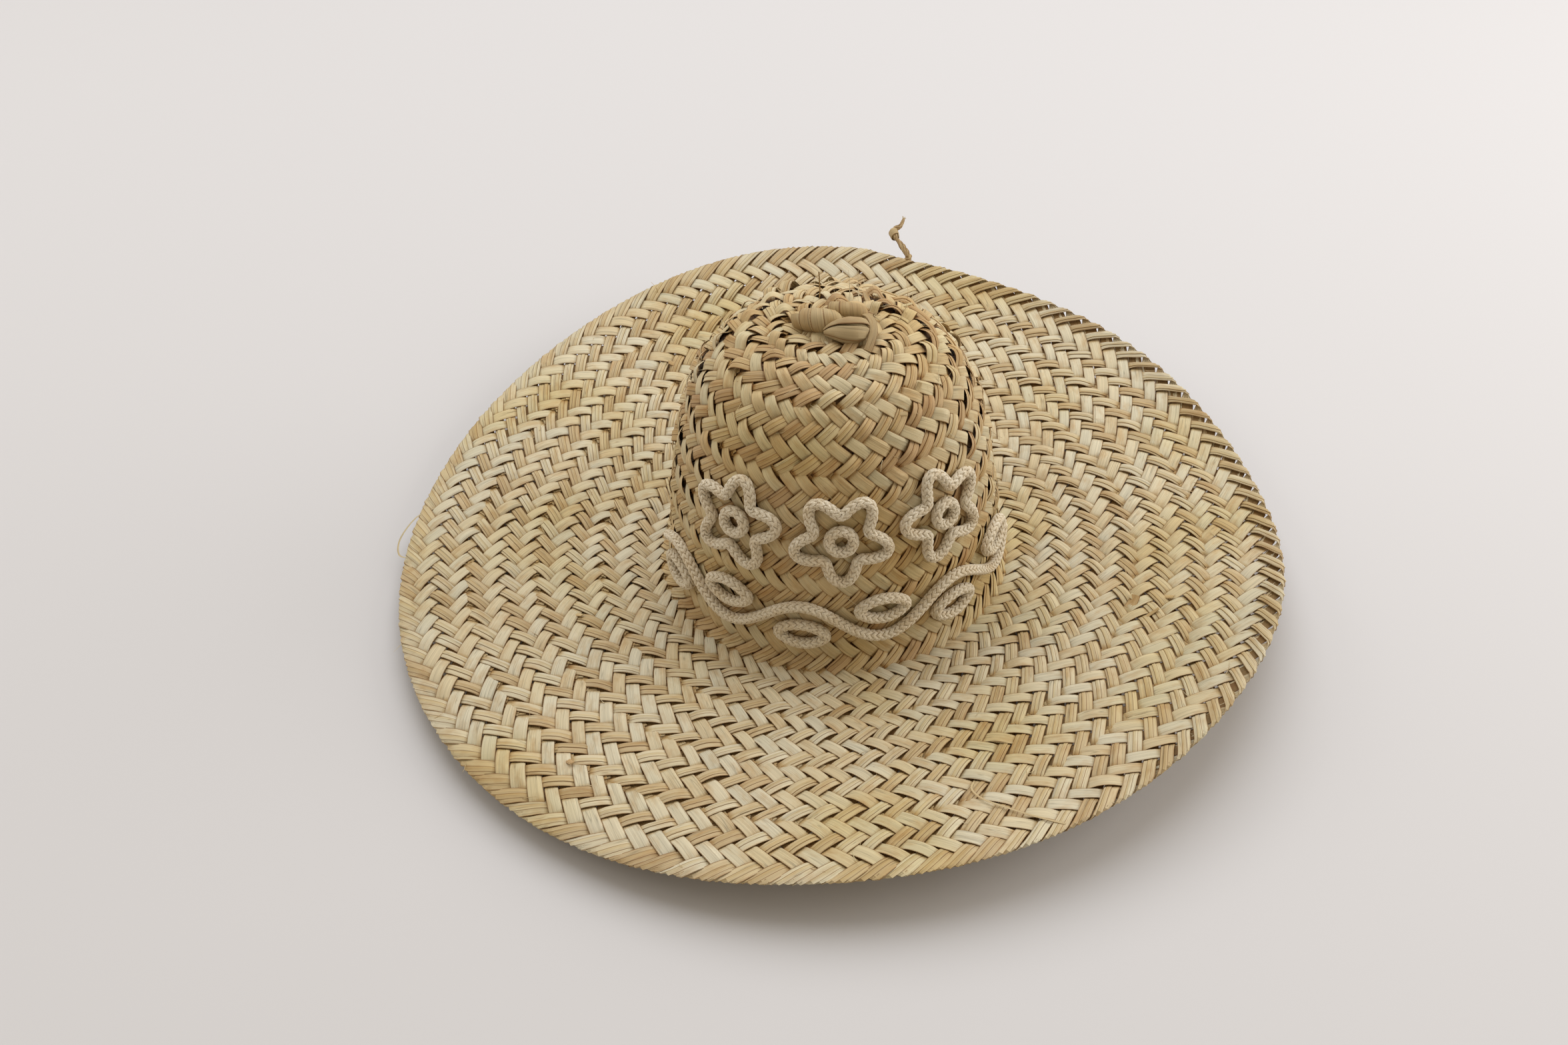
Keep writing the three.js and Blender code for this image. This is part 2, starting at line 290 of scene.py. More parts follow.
# %% [markdown]
# ## The plait
#
# It is a twill: each leaf goes over two others and then under two, and the crossings are stepped so that
# all the leaves that lean one way show in one ring and all that lean the other way in the next. The table
# gives the bands of the spiral from the top of the crown to the rim. Where the hat gets wider, the next
# band has more leaves, as the real plait is eased round. A band starts where the one before it ends, if its
# start is left open, and a column width that is left open fills the rest of the crown or of the brim.

# %% Bands of the plait
FOOT_START = 1.0
BAND_KEYS = ("name", "from_foot", "columns", "column", "leaves", "loose", "folded_width")
BAND_ROWS = (
    ("top", -CROWN_RUN + 9, 2, 8.2, 13, 1.15, 0.95),
    ("dome", -CROWN_RUN + 25.4, 4, 8.3, 28, 1.25, 0.95),
    ("shoulder", None, 4, 9.0, 43, 1.1, 0.94),
    ("upper_side", None, 4, 9.8, 52, 0.85, 0.94),
    ("side", None, 8, None, 60, 0.65, 0.93),
    ("foot", FOOT_START, 4, 9.5, 72, 0.4, 0.9),
    ("inner", None, 4, 9.6, 88, 0.35, 0.88),
    ("outer", None, 4, 9.7, 104, 0.35, 0.88),
    ("rim", None, 4, None, 120, 0.35, 0.88),
)


def laid_bands():
    """Each band with its start and its column width in mm, worked out from the bands before it."""
    laid = []
    for row in BAND_ROWS:
        band = dict(zip(BAND_KEYS, row))
        if band["from_foot"] is None:
            band["from_foot"] = laid[-1]["from_foot"] + laid[-1]["columns"] * laid[-1]["column"]
        if band["column"] is None:
            end = BRIM_RUN if band["from_foot"] > 0 else FOOT_START
            band["column"] = (end - band["from_foot"]) / band["columns"]
        laid.append(band)
    return laid


bands = laid_bands()
for band in bands:
    print(f"band {band['name']}: from {band['from_foot']:.0f} mm, columns of {band['column']:.1f} mm")


# %% [markdown]
# The section of a leaf is a handful of points: how far across it they are, from -1 to 1, and how high, in
# mm. Leaves that lean one way are wide and smooth, with one soft fold line. The others are folded
# lengthwise, so they are narrower and have two sharp lines. The last two points of a section are its
# underside.

# %% Sections of a leaf
WIDE_LEAF = np.array([(-1, 0), (-0.78, 0.28), (0.3, 0.4), (0.36, 0.52), (0.8, 0.36), (1, 0.04),
                      (0.75, -0.22), (-0.75, -0.22)])
FOLDED_LEAF = np.array([(-1, 0), (-0.8, 0.34), (-0.36, 0.36), (-0.3, 0.74), (0.26, 0.78), (0.34, 0.4),
                        (0.82, 0.32), (1, 0), (0.7, -0.22), (-0.7, -0.22)])
FOLD_FOOT = 0.36
FOLD_LINES = (0.335, 0.655)
random = np.random.default_rng(7)
print("points in a section:", len(WIDE_LEAF), "wide and", len(FOLDED_LEAF), "folded")

# %% [markdown]
# Along a leaf we count the crossings that it has passed. The first family of leaves is 1 and the second -1,
# which is also the way they lean. Every four crossings a leaf comes up for one float over two others.

# %% Over and under
CYCLE = 4
FLOAT_MIDDLE = {1: 0.5, -1: 2.5}
CHANGE_SPEED = 2.0


def wave_of_floats(crossing):
    return np.cos(math.pi / 2 * (crossing - FLOAT_MIDDLE[1]))


def over_under(crossing):
    """1 where the first family of leaves is on top and -1 where the second is, with quick changes."""
    return np.tanh(CHANGE_SPEED * wave_of_floats(crossing)) / math.tanh(CHANGE_SPEED)


def ease(share):
    return share * share * (3 - 2 * share)


def along_floats(low, high, crossing, lean):
    """A random value for each float of each leaf, blended where the leaf passes under the others."""
    values = random.uniform(low, high, (len(crossing), int(crossing.max() / CYCLE) + 5))
    place = (crossing - FLOAT_MIDDLE[lean]) / CYCLE + 2
    whole = np.floor(place).astype(int)
    part = ease(place - whole)
    leaf = np.arange(len(values))[:, None]
    return values[leaf, whole] * (1 - part) + values[leaf, whole + 1] * part


print("the first family at crossings 0 to 4:", np.round(over_under(np.arange(5)), 1).tolist())

# %% [markdown]
# The rim is the plait's edge. There the first family of leaves is cut, and the second bends round it and
# comes back underneath. At the right these wraps stand apart, less so at the back, and elsewhere they lie
# close.

# %% Wraps of the rim
RIM_CUT = 0.25
RIM_WRAP = 3.1
RIM_FOLD = 1.1
OPEN_RIM_AZIMUTH = math.radians(15)
OPEN_RIM = (0.2, 0.85)
WRAP_START = 2.6
WRAP_BLEND = 1.5
WRAP_END = 1.0
WRAP_END_BLEND = 0.6
WRAP_RISE = 0.5
WRAP_ARCH = (-0.1, 1.6)
WRAP_HEIGHT = 0.9
OPEN_WRAP_NARROWING = (0.22, 0.46)
CLOSED_WRAP_WIDENING = 0.24
CLOSED_WRAP_FLATTENING = 0.8
LEAF_LIFT = 0.9


def rim_openness(azimuth):
    return np.clip(OPEN_RIM[0] + OPEN_RIM[1] * np.cos(azimuth - OPEN_RIM_AZIMUTH), 0, 1)


def fold_over_rim(run, high, bend_radius):
    """Past the rim a leaf bends round its edge and comes back underneath, as the selvage of a plait does."""
    past = run - BRIM_RUN
    bend = np.clip(past / bend_radius, 0, math.pi)
    folded = BRIM_RUN + high * np.sin(bend) - np.maximum(0, past - math.pi * bend_radius)
    return np.where(past > 0, folded, run), np.where(past > 0, high * np.cos(bend), high)


def rim_wraps(crossing, last, azimuth, over, loose, top, half):
    """Lift, half width, bend radius and ridge of the leaves that go round the rim."""
    near = np.clip((crossing - last + WRAP_START) / WRAP_BLEND, 0, 1)
    back = np.clip((last + WRAP_END - crossing) / WRAP_END_BLEND, 0, 1)
    opened = rim_openness(azimuth) * ease(near) * back
    closed = (1 - rim_openness(azimuth)) * near
    over = np.where(crossing > last - 1, np.maximum(over, WRAP_HEIGHT), over)
    lift = LEAF_LIFT * over + WRAP_RISE * opened + loose * along_floats(*WRAP_ARCH, crossing, -1) * top
    narrowing = along_floats(*OPEN_WRAP_NARROWING, crossing, -1) * opened
    half = half * (1 + CLOSED_WRAP_WIDENING * closed - narrowing)
    return lift, half, RIM_FOLD + WRAP_RISE * opened, 1 - CLOSED_WRAP_FLATTENING * closed


print("openness of the rim at right, back, left and front:", np.round(rim_openness(quarters), 2).tolist())

# %% [markdown]
# A leaf's path is worked out for a whole band at once. Each float of a leaf gets its own small differences:
# how high it arches, how wide it is, how far it has slid and how it is tipped. They are small on the brim,
# which is worked flat, and larger on the crown, where the plait is bent over the dome and its leaves buckle
# into little loops with dark pockets behind them.

# %% Leaves of one band
STEPS_PER_CROSSING = 3
START_CROSSING = {1: -1.4, -1: -0.65}
TUCKED_END = {1: 0.15, -1: 0.95}
FIRST_CROSSING_AT = 0.25
LOOSER_AT_BACK = 0.45
TOP_POWER = 1.3
WIDE_WIDTH = 0.97
WIDTH_CHANGE = 0.1
WIDTH_LIMITS = (2.0, 10.0)
CROWN_LEAF_OVERLAP = 0.06
ARCH = 3.2
ARCH_SINK = 0.1
LEAF_SLIDE = 0.9
LEAF_TIP = 0.22


def leaf_crossings(band, lean, at_rim, last):
    """The crossings along each leaf of a family, (leaves, steps)."""
    first = np.full((band["leaves"], 1), START_CROSSING[lean])
    if at_rim and lean > 0:
        end = last + random.uniform(-RIM_CUT, 0, first.shape)
    else:
        end = np.zeros_like(first) + last + (RIM_WRAP if at_rim else TUCKED_END[lean])
    steps = int((end - first).max() * STEPS_PER_CROSSING) + 1
    return first + (end - first) * np.linspace(0, 1, steps)


def band_leaves(band, lean, at_rim):
    """One family of leaves in a band: lean is 1 or -1, the way they go round as they go out."""
    column, turn = band["column"], TURN / band["leaves"]
    last = 2 * band["columns"] - 0.5
    wraps = at_rim and lean < 0
    crossing = leaf_crossings(band, lean, at_rim, last)
    azimuth = (np.arange(band["leaves"])[:, None] + lean * crossing / 2) * turn
    run = band["from_foot"] + (crossing / 2 + FIRST_CROSSING_AT) * column
    loose = band["loose"] * (1 + LOOSER_AT_BACK * np.where(run < 0, np.sin(azimuth), 0))

    hold = np.clip(crossing, -0.5 if lean < 0 else -np.inf, last if lean > 0 or at_rim else np.inf)
    over = lean * over_under(hold)
    top = np.maximum(0, lean * wave_of_floats(hold)) ** TOP_POWER
    radius = np.hypot(*np.moveaxis(skin(azimuth, run)[..., :2], -1, 0))
    spacing = radius * turn
    slant = np.hypot(spacing, column)
    share = WIDE_WIDTH if lean > 0 else band["folded_width"]
    share = share + along_floats(-WIDTH_CHANGE, WIDTH_CHANGE, crossing, lean)
    share = share + CROWN_LEAF_OVERLAP * np.clip(-run / column, 0, 1)
    half = np.clip(spacing * column / slant * share, *WIDTH_LIMITS) / 2
    arch = ARCH * along_floats(0, 1, crossing, lean) ** 2 - ARCH_SINK
    lift = LEAF_LIFT * over + loose * arch * top
    bend, ridge = np.full_like(crossing, RIM_FOLD), np.ones_like(crossing)
    if wraps:
        lift, half, bend, ridge = rim_wraps(crossing, last, azimuth, over, loose, top, half)
    shift = loose * along_floats(-LEAF_SLIDE, LEAF_SLIDE, crossing, lean)
    tip = loose * along_floats(-LEAF_TIP, LEAF_TIP, crossing, lean)
    azimuth = azimuth + shift * column / slant / radius
    run = run - lean * shift * spacing / slant * (0 if wraps else 1)
    heading = (column / slant, lean * spacing / slant)
    return leaf_points(azimuth, run, lift, half, tip, ridge, heading, radius, lean, bend if at_rim else None)


# %% [markdown]
# With the paths known, the section is laid across them. On each leaf the fold line has slid a little to one
# side and stands more or less high, and the map along it starts at its own place, so no two leaves are
# alike.

# %% Points of the leaves
SLIDING_POINTS = 0.7
FOLD_SLIDE = 0.3
FOLD_HEIGHT = (0.4, 1.3)
NUMBERS = {1: (0, 0.75), -1: (0.25, 1)}
MAP_START = 50
MAP_UNIT = 10


def leaf_points(azimuth, run, lift, half, tip, ridge, heading, radius, lean, bend):
    section = WIDE_LEAF if lean > 0 else FOLDED_LEAF
    each = (len(azimuth), 1, 1)
    slide = random.uniform(-FOLD_SLIDE, FOLD_SLIDE, each) * (np.abs(section[:, 0]) < SLIDING_POINTS)
    fold = random.uniform(*FOLD_HEIGHT, each)
    height = section[:, 1]
    height = np.where(height > FOLD_FOOT, FOLD_FOOT + (height - FOLD_FOOT) * fold, height)
    off = (section[:, 0] + slide) * half[..., None]
    high = lift[..., None] + height * ridge[..., None] + off * tip[..., None]
    point_run = run[..., None] - off * heading[1][..., None]
    point_azimuth = azimuth[..., None] + off * heading[0][..., None] / radius[..., None]
    if bend is not None:
        point_run, high = fold_over_rim(point_run, high, bend[..., None])
    point = skin(point_azimuth, point_run) + skin_outward(point_azimuth, point_run) * high[..., None]
    step = np.linalg.norm(np.diff(point[:, :, 0], axis=1), axis=-1).mean()
    along = np.arange(azimuth.shape[1]) * step / MAP_UNIT
    return {
        "point": point,
        "across": (section[:, 0] + 1) / 2,
        "along": along[None, :, None] + random.uniform(0, MAP_START, each),
        "number": random.uniform(*NUMBERS[lean], each),
        "folded": 1.0 if lean < 0 else 0.0,
        # how deep under the other leaves a point lies, which the material turns into painted shade
        "under": np.clip(0.5 - lift / (2 * LEAF_LIFT), 0, 1)[..., None] * (section[:, 1] >= 0),
    }


# %% [markdown]
# Now the bands become meshes. A few bands share a piece, so that none gets too heavy. Each piece takes the
# place of a plain wall and belongs to the hat's one body.

# %% Weave the crown and the brim
WEAVES = (
    ("crown_top_weave", ("top", "dome", "shoulder"), "crown"),
    ("crown_side_weave", ("upper_side", "side"), "crown"),
    ("brim_inner_weave", ("foot", "inner"), "brim"),
    ("brim_outer_weave", ("outer",), "brim"),
    ("brim_rim_weave", ("rim",), "brim"),
)


def finish_piece(piece, node):
    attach(piece, "root")
    if node:
        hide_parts(node)
    return piece


def weave(name, band_names, node):
    groups = []
    for band in bands:
        if band["name"] in band_names:
            for lean in (1, -1):
                groups.append(band_leaves(band, lean, band["name"] == "rim"))
    return finish_piece(mesh_from_strips(name, groups), node)


woven = {name: weave(name, band_names, node) for name, band_names, node in WEAVES}

# %% [markdown]
# ## Leaves that leave the surface
#
# The knot, the twisted leaf end and the loose fibres follow lines in space. A smooth line is drawn through
# a few points, and at each point of it we need two directions besides its own: outward and across.

# %% Lines in space
UP = (0, 0, 1)
LINE_POINTS_PER_POINT = 12


def run_along(line):
    return np.concatenate([[0], np.cumsum(np.linalg.norm(np.diff(line, axis=0), axis=1))])


def line_length(line):
    return np.linalg.norm(np.diff(line, axis=0), axis=1).sum()


def between(places, given, vectors):
    """Vectors that are given at some numbers, found at other numbers between them."""
    return np.stack([np.interp(places, given, vectors[:, axis]) for axis in range(3)], -1)


def smooth_line(points, count):
    """A curve through the points, even along its length: a Catmull-Rom spline."""
    points = np.array(points, dtype=float)
    ends = np.concatenate([[2 * points[0] - points[1]], points, [2 * points[-1] - points[-2]]])
    place = np.linspace(0, len(points) - 1, LINE_POINTS_PER_POINT * len(points))
    whole = np.minimum(place.astype(int), len(points) - 2)
    t = (place - whole)[:, None]
    p0, p1, p2, p3 = ends[whole], ends[whole + 1], ends[whole + 2], ends[whole + 3]
    line = 0.5 * (2 * p1 + (p2 - p0) * t + (2 * p0 - 5 * p1 + 4 * p2 - p3) * t**2
                  + (3 * p1 - p0 - 3 * p2 + p3) * t**3)
    length = run_along(line)
    return between(np.linspace(0, length[-1], count), length, line)


def line_frame(line, outward):
    """Unit directions at each point of a line: outward and across."""
    along = unit(np.gradient(line, axis=0))
    outward = np.broadcast_to(np.array(outward, dtype=float), line.shape)
    outward = unit(outward - along * (outward * along).sum(-1, keepdims=True))
    return outward, np.cross(along, outward)


def turned(angle, first, second):
    """Directions at an angle from a first direction towards a second one."""
    return np.cos(angle)[..., None] * first + np.sin(angle)[..., None] * second


test_line = smooth_line([(0, 0, 0), (5, 2, 0), (9, 0, 0)], 20)
print("a test line through three points is", round(line_length(test_line), 1), "mm long")

# %% [markdown]
# With these directions a leaf can be laid along a line or wound round it, and a round strand can fill the
# middle. A cupped leaf is laid along a swelling core and bent round it, which we do by giving each of its
# edges an angle round the core.

# %% Leaves and strands along a line
WOUND_STEPS = 24
THIN_HALF = 1.5


def strip_group(point, across, length):
    """One strip of leaf, ready to be joined into a mesh: point is (steps, ring, 3)."""
    along = np.linspace(0, length / MAP_UNIT, len(point))[None, :, None] + random.uniform(0, MAP_START)
    return {"point": point[None], "across": across, "along": along,
            "number": random.uniform(0, 1, 1), "folded": 0.0, "under": 0.0}


def laid_leaf(line, outward, half, section=WIDE_LEAF):
    """A leaf laid along a line, with half its width given at each point."""
    out, side = line_frame(line, outward)
    half = np.broadcast_to(half, len(line))[:, None]
    point = (line[:, None] + side[:, None] * (section[:, 0] * half)[..., None]
             + out[:, None] * (section[:, 1] * np.minimum(1, half / THIN_HALF))[..., None])
    return strip_group(point, (section[:, 0] + 1) / 2, line_length(line))


def round_strand(line, outward, radius, sides=8):
    """A round strand along a line, with its radius given at each point."""
    out, side = line_frame(line, outward)
    ring = turned(TURN * np.arange(sides) / sides, out[:, None], side[:, None])
    point = line[:, None] + ring * np.broadcast_to(radius, len(line))[:, None, None]
    return strip_group(point, np.arange(sides) / sides, line_length(line))


def wound_leaf(line, outward, radius, turns, width, first_angle, overlap):
    """A leaf wound round a line, each turn lying over the edge of the one before."""
    share = np.linspace(0, 1, int(turns * WOUND_STEPS) + 1)[:, None]
    length = line_length(line)
    u = WIDE_LEAF[:, 0]
    along = np.clip(share * (length - width) + width / 2 + u * width / 2, 0, length)
    at = along / length * (len(line) - 1)
    parts = (line, *line_frame(line, outward))
    centre, out, side = [between(at, np.arange(len(line)), part) for part in parts]
    angle = first_angle + TURN * turns * share
    reach = np.interp(along / length, np.linspace(0, 1, len(radius)), radius)
    reach = reach + WIDE_LEAF[:, 1] + overlap * (1 - u) / 2 + 0.5 * overlap * (1 - u * u)
    point = centre + reach[..., None] * turned(angle, out, side)
    return strip_group(point, (u + 1) / 2, TURN * radius.max() * turns)


def cupped_leaf(line, radius, low, high, lift):
    """A leaf bent round a core: low and high are its edges' angles from the top, at the line's two ends."""
    out, side = line_frame(line, UP)
    share = np.linspace(0, 1, len(line))[:, None]
    low_edge = np.radians(low[0] * (1 - share) + low[1] * share)
    high_edge = np.radians(high[0] * (1 - share) + high[1] * share)
    angle = low_edge + (high_edge - low_edge) * (WIDE_LEAF[:, 0] + 1) / 2
    reach = radius[:, None] + lift + WIDE_LEAF[:, 1]
    point = line[:, None] + reach[..., None] * turned(angle, out[:, None], side[:, None])
    return strip_group(point, (WIDE_LEAF[:, 0] + 1) / 2, line_length(line))


def swelling(radius, power, count):
    """A radius that grows from a thin end to the middle and back."""
    return radius * np.sin(math.pi * np.linspace(0.04, 0.96, count)) ** power


print("a swelling of five radii:", np.round(swelling(1, 0.5, 5), 2).tolist())

# %% [markdown]
# ## The knot on top
#
# The plait starts with a bunch of leaves that is knotted on top of the crown. In front lies a roll with
# leaf wound round it like a croissant. Beside it lies a fatter pod of leaves folded lengthwise, one over
# the other. A third, smaller roll is tucked in behind them, and its end has split. A strap of leaf comes
# over the pod's end, and short leaves dive from under the knot into the first ring of the plait.
#
# A wound leaf suits the rolls and cupped leaves suit the pod. Points are in mm from the middle of the knot.

# %% Sizes of the knot
KNOT_HEIGHT = CROWN_HEIGHT + GAP + 4.6
KNOT_ROLLS = (
    {"line": ((-19.5, 2.5, -2.2), (-12, -1.5, -0.2), (-4, -3.8, 0.4), (8, -3.6, -1.0)),
     "radius": 4.7, "power": 0.34, "turns": 3.4, "width": 10.0, "angle": 0.4},
    {"line": ((-2.5, 7.5, -0.6), (5, 4.0, 0.8), (13, 2.0, 0.8), (22.5, 1.2, -1.4)),
     "radius": 3.6, "power": 0.4, "turns": 1.9, "width": 15.0, "angle": 3.6},
)
ROLL_OVERLAP = 1.7
CORE_GAP = 0.2
POD_LINE = ((-3.5, -11.0, -2.6), (3, -13.0, -0.4), (10.5, -14.2, 0.6), (19.5, -11.5, -1.6))
POD_RADIUS = (0.8, 2.6, 4.2, 5.4, 6.0, 6.1, 5.7, 4.6, 1.6)
POD_LEAVES = (
    {"low": (35, 60), "high": (150, 175), "lift": 0.2},
    {"low": (-80, -100), "high": (75, 128), "lift": 0.9},
    {"low": (-60, -70), "high": (20, 30), "lift": 1.7},
)
STRAP = ((15.5, 2.0, 0.5), (19.5, -3.5, 2.6), (21.5, -9, 3.0), (22, -15, 1.2), (20.5, -20, -1.6),
         (18, -25, -5))
STRAP_HALF = 2.3
STRAP_OUTWARD = (0.35, -0.35, 1)
SPLINTERS = ((4.5, -2.5, -1.0), (5.5, -1.0, 0.5), (4.5, 0.5, 1.5), (3.5, 1.5, -0.5), (6.0, -3.5, -1.5))
SPLINTER_HALVES = (0.9, 0.25)
SPLINTER_HUMP = 0.4
TUCK_AZIMUTHS = (-152, -128, -108, -88, -66, -38, 8, 42, 76, 110, 140, 172)
TUCK_ROUTE = ((5, 2.2, 0), (8, 2.4, 0.3), (12, 1.9, 0.7), (16, 0.6, 1.0), (20, -0.9, 1.2))
TUCK_TWISTS = (-0.35, 0.5)
TUCK_HALVES = (2.2, 3.0, 3.0)
TUCK_LEAN = 0.4
print("the knot's middle is", round(KNOT_HEIGHT, 1), "mm high")


# %% Knot of leaf
def knot_line(points, count):
    return smooth_line([(x, y, KNOT_HEIGHT + z) for x, y, z in points], count)


def knot_roll(row):
    line = knot_line(row["line"], 40)
    core = round_strand(line, UP, swelling(row["radius"] - CORE_GAP, row["power"], 40))
    radius = swelling(row["radius"], row["power"], 24)
    return [core, wound_leaf(line, UP, radius, row["turns"], row["width"], row["angle"], ROLL_OVERLAP)]


def knot_pod():
    line = knot_line(POD_LINE, 30)
    radius = np.interp(np.linspace(0, 1, 30), np.linspace(0, 1, len(POD_RADIUS)), POD_RADIUS)
    leaves = [cupped_leaf(line, radius, **row) for row in POD_LEAVES]
    strap = laid_leaf(knot_line(STRAP, 20), STRAP_OUTWARD, STRAP_HALF)
    return [round_strand(line, UP, radius, 14), strap] + leaves


def roll_splinters():
    """The split end of the roll behind the pod."""
    tip = knot_line(KNOT_ROLLS[1]["line"], 40)[-3]
    ends = [(tip, tip + np.array(step) / 2 + (0, 0, SPLINTER_HUMP), tip + step) for step in SPLINTERS]
    return [laid_leaf(smooth_line(points, 6), UP, np.linspace(*SPLINTER_HALVES, 6)) for points in ends]


def knot_tuck(azimuth, twist):
    """A leaf from under the knot: its route has run from the top, lift and how far it has turned aside."""
    points = []
    for from_top, lift, aside in TUCK_ROUTE:
        at, run = np.array([azimuth + twist * aside]), np.array([from_top - CROWN_RUN])
        points.append((skin(at, run) + skin_outward(at, run) * lift)[0])
    half = np.interp(np.linspace(0, 1, 14), (0, 0.5, 1), TUCK_HALVES)
    outward = (math.cos(azimuth) * TUCK_LEAN, math.sin(azimuth) * TUCK_LEAN, 1)
    return laid_leaf(smooth_line(points, 14), outward, half)


knot_groups = knot_pod() + roll_splinters()
for row in KNOT_ROLLS:
    knot_groups += knot_roll(row)
for number, azimuth in enumerate(TUCK_AZIMUTHS):
    knot_groups.append(knot_tuck(math.radians(azimuth), TUCK_TWISTS[number % 2]))
knot = finish_piece(mesh_from_strips("knot", knot_groups), "top_knot")

# %% [markdown]
# ## The leaf end at the rim
#
# At the rim's back the last leaves of the plait are twisted into a short stiff end, tied in a knot near its
# tip. It is flat leaf, twisted slowly, so it looks broad where its face shows and thin where its edge does.
# Three leaves are laid one over the other along one line and turn together about it. The knot is a leaf
# wound round a short swelling, where the line bends sharply, and the tip beyond it is cut, with a few
# splinters.

# %% Twisted leaf end
TAIL_AZIMUTH = math.radians(75.5)
TAIL_GAP = 0.7
TAIL_ROUTE = ((0, 0, 0), (2.0, -2.2, 1.5), (9, 2.8, 4), (15.1, 7.9, 6), (19.3, 11.1, 7), (22.4, 12.4, 8),
              (25.5, 11.4, 9.2), (27.4, 8.4, 10.5), (33.5, 7.0, 12.5))
TAIL_HALF_WIDTHS = ((0, 1.5), (0.1, 2.5), (0.22, 2.2), (0.36, 2.3), (0.46, 1.4), (0.56, 2.0), (0.78, 2.0),
                    (0.86, 1.5), (1, 1.1))
TAIL_LEAVES = (0, 50, -55)
TAIL_PITCH = 34.0
TAIL_CORE = 0.6
TAIL_KNOT = (0.52, 0.8)
TAIL_KNOT_RADIUS = 2.6
TAIL_KNOT_LEAF = {"turns": 1.5, "width": 6.5, "first_angle": 1.0, "overlap": 0.7}
TAIL_SPLINTERS = ((1.8, -1.2, 1.4), (2.2, 0.4, 0.6), (1.2, 1.6, 0.9))
TAIL_SPLINTER_HALVES = (0.7, 0.25)


def tail_line():
    """The leaf end's line, from a route of mm outward from the rim, aside and up."""
    out = np.array([math.cos(TAIL_AZIMUTH), math.sin(TAIL_AZIMUTH), 0])
    side = np.array([-math.sin(TAIL_AZIMUTH), math.cos(TAIL_AZIMUTH), 0])
    rim = rim_radius(np.array(TAIL_AZIMUTH))
    foot = out * (rim + TAIL_GAP) + (0, 0, brim_underside(np.array(TAIL_AZIMUTH), rim) + WALL / 2)
    return smooth_line([foot + out * o + side * s + (0, 0, up) for o, s, up in TAIL_ROUTE], 90)


def tail_knot(line):
    first, last = [int(share * len(line)) for share in TAIL_KNOT]
    core = smooth_line(line[first:last:3], 20)
    radius = swelling(TAIL_KNOT_RADIUS, 0.5, 20)
    return [round_strand(core, UP, radius), wound_leaf(core, UP, radius, **TAIL_KNOT_LEAF)]


def leaf_end():
    line = tail_line()
    out, side = line_frame(line, UP)
    share = np.linspace(0, 1, len(line))
    half = np.interp(share, *np.transpose(TAIL_HALF_WIDTHS))
    groups = [round_strand(line, UP, TAIL_CORE * half)]
    for start in TAIL_LEAVES:
        angle = np.radians(start) + TURN * share * line_length(line) / TAIL_PITCH
        groups.append(laid_leaf(line, turned(angle, out, side), half))
    groups += tail_knot(line)
    tip, heading = line[-2], unit(line[-1] - line[-6])
    for forward, across, up in TAIL_SPLINTERS:
        end = tip + heading * forward + side[-1] * across + np.array((0, 0, up))
        half = np.linspace(*TAIL_SPLINTER_HALVES, 5)
        groups.append(laid_leaf(smooth_line([tip, (tip + end) / 2, end], 5), UP, half))
    return groups


twisted_end = finish_piece(mesh_from_strips("twisted_leaf_end", leaf_end()), "edge_tail")

# %% [markdown]
# ## The sewn cords
#
# The flowers and the vine on the crown's front are a knitted cord of undyed cotton, about 6.6 mm thick.
# Knitted cord shows columns of small V-shaped stitches. One leg of a V is modelled once, as a short fat
# sausage, and copied in five columns round a soft core along every line of cord.

# %% One leg of a knitted stitch
CORD_RADIUS = 3.3
LEG_SIZE = (2.7, 0.92, 0.85)


def stitch_leg():
    """Points and triangles of one leg, in mm: x along it, y across it, z out of the cord."""
    bpy.ops.object.select_all(action="DESELECT")
    bpy.ops.mesh.primitive_uv_sphere_add(segments=6, ring_count=5, radius=1, location=(0, 0, 0))
    leg = bpy.context.active_object
    bpy.ops.object.mode_set(mode="EDIT")
    bpy.ops.mesh.select_all(action="SELECT")
    bpy.ops.transform.rotate(value=math.pi / 2, orient_axis="Y", center_override=(0, 0, 0))
    bpy.ops.transform.resize(value=LEG_SIZE)
    bpy.ops.mesh.quads_convert_to_tris()
    bpy.ops.object.mode_set(mode="OBJECT")
    points = np.zeros(len(leg.data.vertices) * 3)
    leg.data.vertices.foreach_get("co", points)
    corners = np.zeros(len(leg.data.polygons) * 3, dtype=np.int32)
    leg.data.polygons.foreach_get("vertices", corners)
    bpy.data.objects.remove(leg)
    return points.reshape(-1, 3), corners.reshape(-1, 3)


leg_points, leg_corners = stitch_leg()
print("one leg of a stitch has", len(leg_corners), "triangles")


# %% [markdown]
# A leg is placed by bending it: its length follows the cord's line and its width goes round the cord. The
# cord is closed into a ring, or has two rounded ends, as the vine has.

# %% Knitted cord along a line
STITCH_PITCH = 3.5
STITCH_COLUMNS = 5
COLUMN_STEP = 0.12
STITCH_RING = 2.45
LEG_TILT = math.radians(24)
LEG_ASIDE = 0.86
LEG_STRETCH = 0.06
LEG_RISE = 0.08
CORE_RADIUS = 2.3
CORE_SIDES = 8
ROUND_END = 3.0
CORD_SHADE_ANGLE = 60


